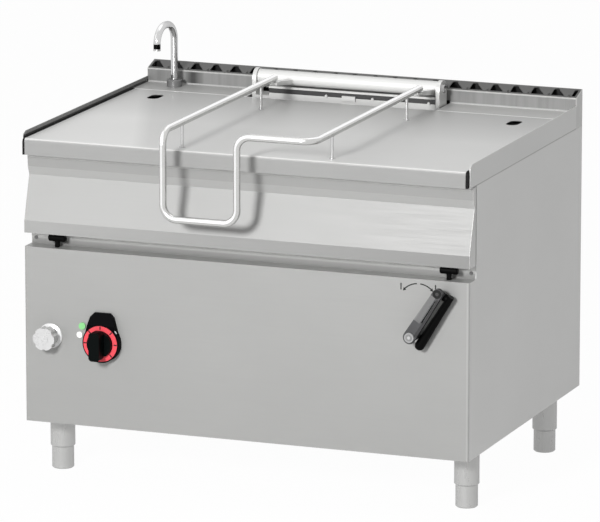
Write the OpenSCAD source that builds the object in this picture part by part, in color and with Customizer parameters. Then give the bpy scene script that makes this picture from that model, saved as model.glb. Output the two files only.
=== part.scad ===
// Tilting bratt pan: a steel cabinet on four feet, with a pan that tilts over its front edge
// on two black hinges, a lid hinged to the pan, a fill tap and a folding crank.
// The source draws it from the front panel (Y = 0) backwards, and in_frame() centres it.

/* [Cabinet] */
// Width over the side panels
body_w = 1200; // [1150:10:1400]
// Depth from the front panel to the back panel
body_d = 869; // [860:1:920]
// Height of the worktop deck and the closed lid above the floor
deck_h = 885; // [880:1:900]
// Height of the cabinet's bottom edge above the floor
leg_h = 148; // [130:1:170]
// Distance of the front panel's top edge below the deck
panel_drop = 282; // [279:1:288]
// Depth of the recess below the pan
recess_d = 48; // [46:1:52]
// Thickness of the panels' sheet
sheet = 1.5; // [1:0.1:2]
// Radius of the bend at the front panel's upright edges
bend_r = 6; // [4:0.5:8]
// Depth of the flue upstand behind the deck
upstand_d = 49; // [46:1:54]
// Height of the upstand's front face above the deck
upstand_h = 36.5; // [30:0.5:44]
// Rise of the upstand's slanting top
upstand_rise = 15.5; // [12:0.5:20]
// Depth of the deck strip between the lid and the upstand
deck_d = 106; // [104:1:108]

/* [Cheeks] */
// Height of each cheek's top above the deck
cheek_above = 15; // [10:1:20]
// Height of each cheek's bottom below the deck
cheek_below = 45; // [42:1:45]
// Thickness of a cheek
cheek_t = 2.5; // [1.5:0.1:3]
// Length of the slope at a cheek's front top corner
cheek_slope = 15; // [10:1:20]

/* [Legs] */
// Diameter of the upper leg tubes
leg_d = 64; // [60:1:70]
// Diameter of the adjustable feet
foot_d = 57; // [50:1:58]
// Height of a foot below its leg tube
foot_h = 58; // [50:1:70]
// Distance of a leg's axis from the side panel
leg_inset_x = 48.5; // [45:0.5:60]
// Distance of the front legs' axes from the front panel
leg_front_y = 125; // [100:1:150]
// Distance of the rear legs' axes from the back panel
leg_rear_in = 138; // [90:1:170]

/* [Pan] */
// Height of the pan front's bottom edge above the front panel's top
pan_lift = 36; // [36:1:40]
// Height of the upright band at the pan front's foot
band_h = 32; // [28:1:36]
// Height of the sloping face above that band
slope_h = 113; // [105:1:118]
// Depth that the sloping face falls back
slope_d = 34; // [28:1:38]
// Height of the pouring lip's lower bend above the sloping face
lip_bend_h = 22; // [18:1:26]
// Depth that the pouring lip comes forward again
lip_forward = 10; // [6:0.5:12]
// Distance of the pan's inner walls from the cabinet's sides
basin_in = 48; // [46:1:100]
// Distance of the pan's inner rear wall in front of the deck
basin_rear_in = 28; // [24:1:70]
// Depth of the pan from its rim to its floor
basin_h = 122; // [100:1:124]
// Thickness of the pan's wall and floor
basin_t = 3; // [2:0.5:4]
// Radius of the pan's rear corners
basin_r = 40; // [20:1:50]

/* [Pan hinges] */
// Distance of the left hinge from the left side
hinge_left_in = 83; // [78:1:90]
// Distance of the right hinge from the right side
hinge_right_in = 62; // [60:1:70]
// Distance of the tilt axis behind the front panel
tilt_y = 22; // [20:1:24]
// Height of the tilt axis above the front panel's top
tilt_rise = 23.5; // [22.5:0.5:24.5]
// Diameter of a hinge's knuckles
knuckle_d = 18; // [16:0.5:20]
// Length of a hinge over its knuckles
hinge_len = 46; // [44:1:54]
// Width of the post between the knuckles
post_w = 9.5; // [9:1:14]
// Diameter of the hinge pins
pin_d = 8; // [6:0.5:9]

/* [Lid] */
// Height of the lid from its rim to its top
lid_h = 42; // [41:1:44]
// Distance that the lid's front stands proud of the front panel
lid_proud = 11; // [8:1:14]
// Gap between the lid's rear edge and the deck
lid_gap = 2; // [1.5:0.5:3]
// Width of the black seal along each side of the lid
seal_w = 5.5; // [3:0.5:6]
// Distance of the lid vents from the cabinet's sides
vent_in = 103; // [95:1:130]
// Distance of the lid vents in front of the lid's rear edge
vent_rear_in = 86; // [75:1:110]
// Width of a lid vent
vent_w = 33; // [28:1:40]
// Length of a lid vent
vent_len = 61; // [50:1:70]

/* [Lid hinge] */
// Height of the lid's hinge axis above the deck
axis_up = 45; // [44:0.5:48]
// Distance of the lid's hinge axis behind the lid's rear edge
axis_back = 63; // [62:0.5:65]
// Diameter of the hinge tube
tube_d = 39; // [36:0.5:42]
// Reach of the hinge tube to the left of the middle
tube_left = 261; // [250:1:280]
// Reach of the hinge tube to the right of the middle
tube_right = 239; // [230:1:250]
// Thickness of a hinge bracket
bracket_t = 11; // [8:1:14]
// Depth of a hinge bracket
bracket_d = 56; // [48:1:58]

/* [Handle] */
// Diameter of the handle tube
handle_d = 18; // [16:0.5:20]
// Distance of the left arm from the middle
arm_left = 176; // [160:1:190]
// Distance of the right arm from the middle
arm_right = 226; // [210:1:232]
// Distance of the grip's right leg from the middle
leg_right = 22; // [10:1:40]
// Height of the arms above the deck
arm_up = 65; // [60:1:70]
// Distance of the grip in front of the front panel
grip_out = 101; // [90:1:110]
// Drop of the grip below the arms
grip_drop = 223; // [200:1:235]
// Rear end of the arms
arm_end = 664; // [650:1:680]
// Radius of the tube's bends
handle_bend = 36; // [30:1:42]

/* [Crank and tilt drive] */
// Distance of the crank's axis from the right side
crank_in = 140; // [136:1:160]
// Distance of the crank's axis below the front panel's top edge
crank_drop = 138; // [136:1:150]
// Lean of the crank's arm from upright
crank_lean = 32; // [20:1:40]
// Length of the crank's arm between its axes
crank_len = 136; // [120:1:140]
// Module of the tilt drive's teeth
drive_m = 4; // [3.9:0.05:4.1]
// Tooth count of the full circle that the sector is cut from
drive_teeth = 70; // [70:1:70]
// Pitch radius of the worm
worm_r = 18; // [17:0.5:19]

/* [Controls] */
// Distance of the thermostat dial from the left side
dial_in = 217; // [205:1:250]
// Distance of the thermostat dial below the front panel's top edge
dial_drop = 232; // [220:1:260]
// Outer diameter of the red ring
ring_d = 92; // [84:1:94]
// Distance of the water valve's knob from the left side
valve_in = 71; // [66:1:80]
// Distance of the water valve's knob below the front panel's top edge
valve_drop = 227; // [215:1:240]

/* [Tap] */
// Distance of the tap from the left side
tap_in = 94; // [86:1:105]
// Distance of the tap in front of the upstand
tap_rear_in = 40; // [36:1:48]
// Reach of the spout
tap_reach = 100; // [90:1:104]
// Diameter of the spout's tube
tap_d = 19; // [16:0.5:20]
// Height of the spout's top above the deck
tap_h = 182; // [170:1:190]
// Angle that the spout points left of straight forward
tap_swing = 4.6; // [0:0.1:8]

/* [Flue grille] */
// Spacing of the grille's openings
flue_pitch = 56; // [50:1:60]
// Width of an opening at its front edge
flue_hole_w = 38; // [30:1:42]

/* [Hidden] */
$fn = 64;

// Clearances and the overrun of every cut
gap = 0.3;
run = 0.05;
over = 1;

// Main planes of the cabinet
half_w = body_w / 2;
in_x = half_w - sheet;
back_y = body_d - sheet;
bottom_z = leg_h + sheet;
upstand_y = body_d - upstand_d;
deck_y = upstand_y - deck_d;
upstand_top = deck_h + upstand_h;
panel_top = deck_h - panel_drop;
cheek_z = deck_h - cheek_below;
lid_z = deck_h - lid_h;
rim_z = lid_z - gap;

// The grip stands in front of the cabinet, so the part's box runs from it to the back panel
front_y = -grip_out - handle_d / 2;
mid_y = (body_d + front_y) / 2;

// Square tube of the frame, and its wall
bar = 30;
bar_wall = 2;
bar_z = bottom_z + bar;

// Pan front, from the foot of its upright band to the lip
front_z = panel_top + pan_lift;
band_z = front_z + band_h;
crease_z = band_z + slope_h;
lip_z = crease_z + lip_bend_h;
pan_clear = 2;
fascia_top = cheek_z - pan_clear;
fascia_back = recess_d - pan_clear;
fascia_x = half_w - over;

// Tilt axis and the pan's hinges
tilt_z = panel_top + tilt_rise;
hinge_x = [-half_w + hinge_left_in, half_w - hinge_right_in];

// Lid and its hinge axis
lid_x = half_w - cheek_t - run * 10 - seal_w;
lid_back = deck_y - lid_gap;
axis_y = lid_back + axis_back;
axis_z = deck_h + axis_up;
arm_z = deck_h + arm_up;

// Pan body below the rim
basin_y = 96;
basin_w = body_w - 2 * basin_in;
basin_back = deck_y - basin_rear_in;
basin_d = basin_back - basin_y;
casing_t = 1.5;
lag_side = 20;
lag_back = 18;
lag_floor = 36;
rim_side = 12;
casing_x = basin_w / 2 + basin_t + lag_side;
casing_back = basin_back + lag_back;
casing_z = rim_z - basin_h - lag_floor;
rim_x = casing_x + rim_side;

// Places of the controls, the tap and the lid's vents
crank_x = half_w - crank_in;
crank_z = panel_top - crank_drop;
dial_x = dial_in - half_w;
dial_z = panel_top - dial_drop;
valve_x = valve_in - half_w;
valve_z = panel_top - valve_drop;
tap_x = tap_in - half_w;
tap_y = upstand_y - tap_rear_in;
vent_x = half_w - vent_in;
vent_y = lid_back - vent_rear_in;

// Tilt drive: a vertical worm behind a toothed sector on the pan
drive_r = drive_m * drive_teeth / 2;
drive_addendum = 0.9 * drive_m;
drive_root = 1.15 * drive_m;
drive_pitch = PI * drive_m;
sector_t = 12;
worm_y = tilt_y + drive_r + worm_r;

function unit(v) = v / norm(v);
function left_of(v) = [-v[1], v[0]];
function side_of(p, i) = left_of(unit(p[i + 1] - p[i]));
function corner_side(p, i, t) =
    i == 0 ? side_of(p, 0) * t :
    i == len(p) - 1 ? side_of(p, i - 1) * t :
    let (a = side_of(p, i - 1), b = side_of(p, i)) (a + b) * t / (1 + a * b);
// Outline of a folded sheet: its path, and back along the path set off by the thickness
function folded(p, t) = concat(p, [for (i = [len(p) - 1:-1:0]) p[i] + corner_side(p, i, t)]);
// Points of an arc about c
function arc(c, r, from, to, n = 6) =
    [for (i = [0:n]) let (a = from + (to - from) * i / n) c + r * [cos(a), sin(a)]];

module in_frame() { translate([0, -mid_y, 0]) children(); }

// A block between two opposite corners
module block(a, b) { translate(a) cube(b - a); }
// A hollow frame tube between two opposite corners, open along the axis named
module frame_bar(a, b, along) {
    wall = [for (i = [0:2]) i == along ? -over : bar_wall];
    difference() {
        block(a, b);
        block(a + wall, b - wall);
    }
}
// A flat outline in Y and Z, drawn out along X
module along_x(from, to) { translate([from, 0, 0]) rotate([90, 0, 90]) linear_extrude(to - from) children(); }
// A flat outline in X and Z, drawn out along Y
module along_y(from, to) { translate([0, to, 0]) rotate([90, 0, 0]) linear_extrude(to - from) children(); }
module rod_x(from, to, y, z, r) { translate([from, y, z]) rotate([0, 90, 0]) cylinder(h = to - from, r = r); }
module rod_y(from, to, x, z, r) { translate([x, to, z]) rotate([90, 0, 0]) cylinder(h = to - from, r = r); }
module rod_z(from, to, x, y, r) { translate([x, y, from]) cylinder(h = to - from, r = r); }
// A rectangle with round corners, centred
module round_rect(w, d, r) {
    square([w - 2 * r, d], center = true);
    square([w, d - 2 * r], center = true);
    for (i = [-1, 1], j = [-1, 1]) translate([i * (w / 2 - r), j * (d / 2 - r)]) circle(r);
}
// A long hole with round ends, along Y
module slot_shape(w, len) {
    square([w, len - w], center = true);
    for (j = [-1, 1]) translate([0, j * (len - w) / 2]) circle(w / 2);
}

// Places a child so that its Z axis follows v and it starts at p
module aim(p, v, x_hint) {
    z = unit(v);
    x = unit(x_hint - z * (x_hint * z));
    y = cross(z, x);
    multmatrix([[x[0], y[0], z[0], p[0]], [x[1], y[1], z[1], p[1]], [x[2], y[2], z[2], p[2]]]) children();
}
// A round bar bent through the points p, with every bend of the same radius
module bent_bar(p, r, bend) {
    n = len(p);
    dir = [for (i = [0:n - 2]) unit(p[i + 1] - p[i])];
    cut = [for (i = [0:n - 1]) i == 0 || i == n - 1 ? 0 : bend * tan(acos(dir[i - 1] * dir[i]) / 2)];
    for (i = [0:n - 2]) {
        from = p[i] + dir[i] * cut[i];
        hint = abs(dir[i][2]) > 0.9 ? [1, 0, 0] : [0, 0, 1];
        aim(from, dir[i], hint) cylinder(h = norm(p[i + 1] - dir[i] * cut[i + 1] - from), r = r);
    }
    for (i = [1:n - 2]) {
        turn = acos(dir[i - 1] * dir[i]);
        inward = unit(dir[i] - dir[i - 1] * (dir[i] * dir[i - 1]));
        centre = p[i] - dir[i - 1] * cut[i] + inward * bend;
        aim(centre, cross(-inward, dir[i - 1]), -inward)
            rotate_extrude(angle = turn) translate([bend, 0]) circle(r, $fn = 32);
    }
}

// Places of the four legs
leg_places = [for (x = [-1, 1], y = [leg_front_y, body_d - leg_rear_in]) [x * (half_w - leg_inset_x), y]];
leg_chamfer = 3;
foot_spindle_r = 10;
foot_spindle_h = 70;
foot_bore_r = foot_spindle_r + 0.5;

module base_frame() {
    color("dimgray") in_frame() {
        for (y = [bend_r + sheet, back_y - bar])
            frame_bar([-in_x, y, bottom_z], [in_x, y + bar, bar_z], 0);
        for (x = [-in_x, in_x - bar])
            frame_bar([x, bend_r + sheet + bar, bottom_z], [x + bar, back_y - bar, bar_z], 1);
        frame_bar([-in_x + bar, worm_y, bottom_z], [in_x - bar, worm_y + bar, bar_z], 0);
    }
}

module leg_tubes() {
    color("silver") in_frame() for (p = leg_places) translate([p[0], p[1], foot_h]) difference() {
        union() {
            cylinder(h = leg_chamfer, d1 = leg_d - 2 * leg_chamfer, d2 = leg_d);
            translate([0, 0, leg_chamfer]) cylinder(h = leg_h - foot_h - leg_chamfer, d = leg_d);
        }
        translate([0, 0, -over]) cylinder(h = foot_spindle_h + 2 * over, r = foot_bore_r);
    }
}

module adjustable_feet() {
    color("silver") in_frame() for (p = leg_places) translate([p[0], p[1], 0]) {
        cylinder(h = leg_chamfer, d1 = foot_d - 2 * leg_chamfer, d2 = foot_d);
        translate([0, 0, leg_chamfer]) cylinder(h = foot_h - leg_chamfer, d = foot_d);
        translate([0, 0, foot_h]) cylinder(h = foot_spindle_h, r = foot_spindle_r);
    }
}

drain_r = 12;
module bottom_plate() {
    color("silver") in_frame() difference() {
        block([-in_x, bend_r + sheet, leg_h], [in_x, back_y, bottom_z]);
        for (x = [-1, 0, 1]) translate([x * half_w / 2, body_d / 2, leg_h - over])
            cylinder(h = sheet + 2 * over, r = drain_r);
    }
}

rail_z = front_z + bar;
cross_z = panel_top - sheet;
module corner_posts() {
    color("dimgray") in_frame() for (s = [-1, 1]) {
        x = s > 0 ? in_x - bar : -in_x;
        frame_bar([x, bend_r + sheet, bar_z], [x + bar, bend_r + sheet + bar, cross_z - bar], 2);
        frame_bar([x, back_y - bar, bar_z], [x + bar, back_y, deck_h - sheet], 2);
    }
}

rail_gap = 3;
rail_w = half_w - sheet - casing_x - rail_gap;
module frame_rails() {
    color("dimgray") in_frame() {
        frame_bar([-in_x, bend_r + sheet, cross_z - bar], [in_x, bend_r + sheet + bar, cross_z], 0);
        frame_bar([-in_x + bar, back_y - bar, rail_z - bar], [in_x - bar, back_y, rail_z], 0);
        for (s = [-1, 1]) {
            x = s > 0 ? in_x - rail_w : -in_x;
            block([x, recess_d + 2 * sheet, rail_z - bar], [x + rail_w, back_y - bar, rail_z]);
        }
        frame_bar([-in_x + rail_w, casing_back - 2 * bar, casing_z - bar - pad_h],
                  [in_x - rail_w, casing_back - bar, casing_z - pad_h], 0);
    }
}

pad_h = 10;
pad_r = 16;
pad_x = casing_x - 3 * pad_r;
module rest_pads() {
    color([0.1, 0.1, 0.1]) in_frame() for (s = [-1, 1])
        rod_z(casing_z - pad_h, casing_z - gap, s * pad_x, casing_back - 1.5 * bar, pad_r);
}

panel_lip = 20;
screw_up = 15;
screw_in = 13;
screw_z = panel_top + screw_up;
screw_x = half_w - screw_in;
screw_r = 2.5;
screw_head_r = 4.5;
screw_head_t = 2.4;
valve_hole_r = 9;
dial_hole_r = 5;
lamp_hole_r = 6;
bearing_r = 13;
module front_panel() {
    ring_y = bend_r + sheet;
    color("lightgray") in_frame() difference() {
        union() {
            // Face with round upright edges
            translate([0, 0, leg_h]) linear_extrude(panel_top - sheet - leg_h)
                polygon(folded(concat([[-half_w, ring_y]],
                    arc([-half_w + bend_r, bend_r], bend_r, 180, 270),
                    arc([half_w - bend_r, bend_r], bend_r, 270, 360), [[half_w, ring_y]]), sheet));
            // Ledge, and the flange at the back of the recess
            translate([0, 0, panel_top - sheet]) linear_extrude(sheet)
                polygon(concat([[-half_w, recess_d]], arc([-half_w + bend_r, bend_r], bend_r, 180, 270),
                    arc([half_w - bend_r, bend_r], bend_r, 270, 360), [[half_w, recess_d]]));
            block([-in_x + gap, recess_d, panel_top - sheet],
                  [in_x - gap, recess_d + sheet, front_z - 2 * sheet]);
            // Lip along the bottom
            block([-half_w + bend_r, sheet, leg_h], [half_w - bend_r, ring_y, bottom_z]);
        }
        rod_y(-over, panel_lip, valve_x, valve_z, valve_hole_r);
        rod_y(-over, panel_lip, dial_x, dial_z, dial_hole_r);
        rod_y(-over, panel_lip, lamp_green[0], lamp_green[1], lamp_hole_r);
        rod_y(-over, panel_lip, lamp_white[0], lamp_white[1], lamp_hole_r);
        rod_y(-over, panel_lip, crank_x, crank_z, bearing_r);
        for (s = [-1, 1]) rod_y(recess_d - panel_lip, recess_d + panel_lip, s * screw_x, screw_z, screw_r);
    }
}

module panel_screws() {
    color("silver") in_frame() for (s = [-1, 1]) {
        rod_y(recess_d - screw_head_t, recess_d, s * screw_x, screw_z, screw_head_r);
        rod_y(recess_d, recess_d + 8 * sheet, s * screw_x, screw_z, screw_r - run);
    }
}

// One side panel: a flat sheet cut away at the recess, with flanges folded inwards
side_flange = 15;
back_wrap = 22;
side_back = body_d - back_wrap;
module side_panel(s) {
    x = s > 0 ? in_x : -half_w;
    inner = s > 0 ? in_x - side_flange : -in_x;
    front = bend_r + sheet + gap;
    along_x(x, x + sheet) polygon([[front, leg_h], [side_back, leg_h], [side_back, cheek_z],
        [recess_d, cheek_z], [recess_d, panel_top - sheet], [front, panel_top - sheet]]);
    difference() {
        block([inner, recess_d + sheet, panel_top + 2 * sheet],
              [inner + side_flange, recess_d + 2 * sheet, fascia_top - over]);
        rod_y(recess_d, recess_d + 2 * panel_lip, s * screw_x, screw_z, screw_r);
    }
}
module left_side_panel() { color("gainsboro") in_frame() side_panel(-1); }
module right_side_panel() { color("gainsboro") in_frame() side_panel(1); }

vent_slot_w = 6;
vent_slot_h = 70;
vent_count = 14;
vent_pitch = 28;
vent_slot_z = cheek_z - 2 * vent_slot_h;
inlet_up = 70;
gland_in = 110;
inlet = [valve_x, leg_h + inlet_up];
gland = [half_w - gland_in, leg_h + inlet_up];
inlet_r = 13;
gland_r = 16;
module back_panel() {
    color("gainsboro") in_frame() difference() {
        translate([0, 0, leg_h]) linear_extrude(cheek_z - leg_h)
            polygon(folded([[half_w, side_back + gap], [half_w, body_d], [-half_w, body_d],
                [-half_w, side_back + gap]], sheet));
        for (g = [-1, 1], i = [0:vent_count - 1])
            along_y(back_y - over, body_d + over)
                translate([g * half_w / 2 + (i - (vent_count - 1) / 2) * vent_pitch, vent_slot_z])
                    slot_shape(vent_slot_w, vent_slot_h);
        rod_y(back_y - over, body_d + over, inlet[0], inlet[1], inlet_r);
        rod_y(back_y - over, body_d + over, gland[0], gland[1], gland_r);
    }
}

// One cheek: the skirt beside the lid, sloped off at its front top corner
cheek_drop = 7;
module cheek(s) {
    x = s > 0 ? half_w - cheek_t : -half_w;
    top = deck_h + cheek_above;
    along_x(x, x + cheek_t) polygon([
        [0, cheek_z + gap], [upstand_y - gap, cheek_z + gap], [upstand_y - gap, top],
        [cheek_slope, top], [0, top - cheek_drop]]);
}
module left_cheek() { color("lightgray") in_frame() cheek(-1); }
module right_cheek() { color("lightgray") in_frame() cheek(1); }

deck_flange = 30;
notch_gap = 3;
notch_left = -tube_left - bracket_t - notch_gap;
notch_right = tube_right + bracket_t + notch_gap;
window_h = 7;
deck_hole_r = 9;
module rear_deck() {
    edge = half_w - cheek_t - run;
    color("lightgray") in_frame() difference() {
        union() {
            block([-edge, deck_y, deck_h - sheet], [edge, upstand_y - gap, deck_h]);
            block([-edge, deck_y, deck_h - deck_flange], [edge, deck_y + sheet, deck_h - sheet]);
        }
        block([notch_left, deck_y - over, deck_h - deck_flange - over],
              [notch_right, upstand_y, deck_h + over]);
        rod_z(deck_h - sheet - over, deck_h + over, tap_x, tap_y, deck_hole_r);
    }
}

// The upstand is one folded sheet with a window in its slanting top for the grille
flue_edge = 3;
flue_t = 3;
flue_len = body_w - 2 * flue_edge;
top_back_z = upstand_top + upstand_rise;
flue_slope = atan(upstand_rise / (upstand_d - sheet));
module rear_upstand() {
    color("lightgray") in_frame() {
        difference() {
            along_x(-in_x, in_x) polygon(folded([[upstand_y, deck_h - deck_flange], [upstand_y, upstand_top],
                [body_d - sheet, top_back_z], [body_d, top_back_z], [body_d, cheek_z]], -sheet));
            translate([-flue_len / 2, upstand_y, upstand_top]) rotate([flue_slope, 0, 0])
                translate([0, flue_edge - run, -2 * sheet]) cube([flue_len, flue_d + 2 * run, 4 * sheet]);
            block([notch_left, upstand_y - over, deck_h - deck_flange - over],
                  [notch_right, upstand_y + 2 * sheet, deck_h + window_h]);
        }
        for (s = [-1, 1]) {
            x = s > 0 ? in_x : -half_w;
            along_x(x, x + sheet) polygon([[upstand_y, cheek_z + gap], [upstand_y, upstand_top],
                [body_d - sheet, top_back_z], [body_d, top_back_z], [body_d, cheek_z + gap]]);
        }
    }
}

flue_d = upstand_d - 2 * flue_edge;
flue_count = floor((flue_len - flue_edge) / flue_pitch);
flue_front = 3;
flue_hole_d = flue_d - 2 * flue_front;
flue_top_share = 0.42;
flue_rib_w = 4;
flue_rib_h = 4;
flue_first = 4;
module flue_grille() {
    start = -flue_count * flue_pitch / 2 - flue_first;
    top_w = flue_hole_w * flue_top_share;
    end = flue_len / 2 - flue_edge;
    color([0.35, 0.35, 0.35]) in_frame() translate([0, upstand_y, upstand_top]) rotate([flue_slope, 0, 0])
        translate([0, flue_edge, -sheet]) {
            difference() {
                translate([-flue_len / 2, 0, 0]) cube([flue_len, flue_d, flue_t]);
                for (i = [0:flue_count]) intersection() {
                    block([-end, 0, -over], [end, flue_d, flue_t + over]);
                    translate([start + i * flue_pitch, flue_front, -over])
                        linear_extrude(flue_t + 2 * over) {
                            polygon([[0, 0], [flue_hole_w, 0], [top_w, flue_hole_d - top_w / 2],
                                [0, flue_hole_d - top_w / 2]]);
                            translate([top_w / 2, flue_hole_d - top_w / 2]) circle(top_w / 2);
                        }
                }
            }
            for (i = [1:flue_count])
                translate([start + i * flue_pitch - 2 * flue_rib_w, flue_front, flue_t])
                    cube([flue_rib_w, flue_rib_h, flue_rib_h]);
        }
}

// Front hinges of the pan: a post with an eye on the ledge, between the two knuckles of a fork
post_d = 12;
post_front = tilt_y - post_d / 2;
module pivot_posts() {
    color([0.08, 0.08, 0.08]) in_frame() for (x = hinge_x) difference() {
        union() {
            block([x - post_w / 2, post_front, panel_top],
                  [x + post_w / 2, post_front + post_d, tilt_z - knuckle_d / 3]);
            rod_x(x - post_w / 2, x + post_w / 2, tilt_y, tilt_z, knuckle_d / 2);
        }
        rod_x(x - hinge_len, x + hinge_len, tilt_y, tilt_z, pin_d / 2 + run);
    }
}

fork_plate = 2.4;
knuckle_chamfer = 2;
module pivot_forks() {
    inner = post_w / 2 + gap;
    outer = hinge_len / 2;
    color([0.08, 0.08, 0.08]) in_frame() for (x = hinge_x) difference() {
        union() {
            for (s = [0, 1]) translate([x, tilt_y, 0]) mirror([s, 0, 0]) {
                translate([inner, 0, tilt_z]) rotate([0, 90, 0])
                    cylinder(h = outer - inner - knuckle_chamfer, d = knuckle_d);
                translate([outer - knuckle_chamfer, 0, tilt_z]) rotate([0, 90, 0])
                    cylinder(h = knuckle_chamfer, d1 = knuckle_d, d2 = knuckle_d - 2 * knuckle_chamfer);
                block([inner, -knuckle_d / 3, tilt_z], [outer - knuckle_chamfer, knuckle_d / 3, front_z]);
            }
            block([x - outer + knuckle_chamfer, tilt_y - knuckle_d / 3, front_z - fork_plate],
                  [x + outer - knuckle_chamfer, tilt_y + knuckle_d / 3, front_z]);
        }
        rod_x(x - outer - over, x + outer + over, tilt_y, tilt_z, pin_d / 2);
    }
}

module pivot_pins() {
    color("silver") in_frame() for (x = hinge_x)
        rod_x(x - hinge_len / 2 + run, x + hinge_len / 2 - run, tilt_y, tilt_z, pin_d / 2);
}

// Pan front: one folded sheet with end caps
lip_share = 0.8;
module pan_fascia() {
    lip_y = slope_d - lip_forward;
    path = [[fascia_back, front_z], [0, front_z], [0, band_z], [slope_d, crease_z],
        [slope_d - lip_forward * lip_share, lip_z], [lip_y, fascia_top], [fascia_back, fascia_top]];
    color("whitesmoke") in_frame() {
        along_x(-fascia_x, fascia_x)
            polygon(folded(path, -sheet));
        for (s = [-1, 1]) {
            x = s > 0 ? fascia_x - sheet : -fascia_x;
            along_x(x, x + sheet)
                polygon([for (i = [0:len(path) - 1]) path[i] + corner_side(path, i, -sheet)]);
        }
    }
}

// Pan: a tub with a slanting front for pouring, and a flat rim
basin_lean = basin_y - fascia_back - 2 * basin_t;
rim_t = rim_z - fascia_top;
module tub(side, floor_z, grow) {
    front = basin_y - grow;
    intersection() {
        along_x(-side, side) polygon([[front, floor_z], [basin_back + grow, floor_z],
            [basin_back + grow, rim_z + over], [front - basin_lean, rim_z + over]]);
        translate([0, basin_back + grow - basin_d, floor_z - over]) linear_extrude(basin_h + 4 * rim_t)
            round_rect(2 * side, 2 * basin_d, basin_r + grow);
    }
}
module pan_basin() {
    floor_z = rim_z - basin_h;
    color("silver") in_frame() difference() {
        union() {
            intersection() {
                tub(basin_w / 2 + basin_t, floor_z - basin_t, basin_t);
                block([-half_w, 0, 0], [half_w, body_d, rim_z]);
            }
            block([-rim_x, slope_d, rim_z - rim_t], [rim_x, casing_back, rim_z]);
        }
        tub(basin_w / 2, floor_z, 0);
    }
}

module pan_casing() {
    top = rim_z - rim_t;
    color("silver") in_frame() difference() {
        block([-casing_x, fascia_back, casing_z], [casing_x, casing_back, top]);
        block([-casing_x + casing_t, fascia_back - over, casing_z + casing_t],
              [casing_x - casing_t, casing_back - casing_t, top + over]);
    }
}

board_h = 12;
module insulation_board() {
    margin = 20;
    color("khaki") in_frame() block([-basin_w / 2 + margin, basin_y + margin, casing_z + casing_t],
        [basin_w / 2 - margin, basin_back - margin, casing_z + casing_t + board_h]);
}

// Heating elements: tubes in long loops under the pan's floor
element_r = 4;
element_loops = 3;
element_bend = 16;
module heating_elements() {
    z = rim_z - basin_h - basin_t - element_r - gap;
    span = (basin_back - basin_y - 2 * element_bend) / element_loops;
    end_x = basin_w / 2 - 3 * element_bend;
    color([0.25, 0.22, 0.2]) in_frame() for (i = [0:element_loops - 1]) {
        y = basin_y + 2 * element_bend + span * (i + 0.2);
        bent_bar([[end_x, y, z], [-end_x, y, z], [-end_x, y + span / 2, z], [end_x, y + span / 2, z]],
            element_r, element_bend);
    }
}

beam_w = 50;
beam_t = 3;
beam_front = tilt_y - knuckle_d / 2;
module pan_beams() {
    color("gray") in_frame() for (x = hinge_x) {
        w = beam_w / 2;
        difference() {
            block([x - w, beam_front, front_z + sheet], [x + w, casing_back - 2 * bar - over, casing_z]);
            block([x - w + beam_t, beam_front - over, front_z + sheet - over],
                  [x + w - beam_t, casing_back, casing_z - beam_t]);
        }
    }
}

// Toothed sector about the tilt axis, hung from the pan
sector_from_deg = -82;
sector_to_deg = 6;
sector_in = 76;
tooth_deg = 360 / drive_teeth;
tooth_root_share = 0.245;
tooth_tip_share = 0.13;
hang_w = 60;
function polar(r, a) = [tilt_y + r * cos(a), tilt_z + r * sin(a)];
function tooth(a) = [
    polar(drive_r - drive_root, a - tooth_deg * tooth_root_share),
    polar(drive_r + drive_addendum, a - tooth_deg * tooth_tip_share),
    polar(drive_r + drive_addendum, a + tooth_deg * tooth_tip_share),
    polar(drive_r - drive_root, a + tooth_deg * tooth_root_share)];
module tilt_sector() {
    first = ceil(sector_from_deg / tooth_deg);
    last = floor(sector_to_deg / tooth_deg) - 1;
    rim = drive_r - drive_root;
    rib = 26;
    color("darkgray") in_frame() {
        along_x(crank_x - sector_t / 2, crank_x + sector_t / 2) difference() {
            polygon(concat([polar(sector_in, sector_from_deg)], [polar(rim, sector_from_deg)],
                [for (i = [first:last]) each tooth((i + 0.5) * tooth_deg)], [polar(rim, sector_to_deg)],
                [[tilt_y + rim * cos(sector_to_deg), casing_z], [tilt_y + sector_in, casing_z]],
                [for (a = [0:-12:sector_from_deg + 6]) polar(sector_in, a)]));
            for (a = [-20, -44, -68]) translate(polar((sector_in + rim) / 2, a)) circle(rib / 2);
        }
        block([crank_x - hang_w / 2, tilt_y + sector_in, casing_z - beam_t],
              [crank_x - sector_t / 2, tilt_y + rim * cos(sector_to_deg), casing_z]);
        block([crank_x + sector_t / 2, tilt_y + sector_in, casing_z - beam_t],
              [crank_x + hang_w / 2, tilt_y + rim * cos(sector_to_deg), casing_z]);
    }
}

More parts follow.
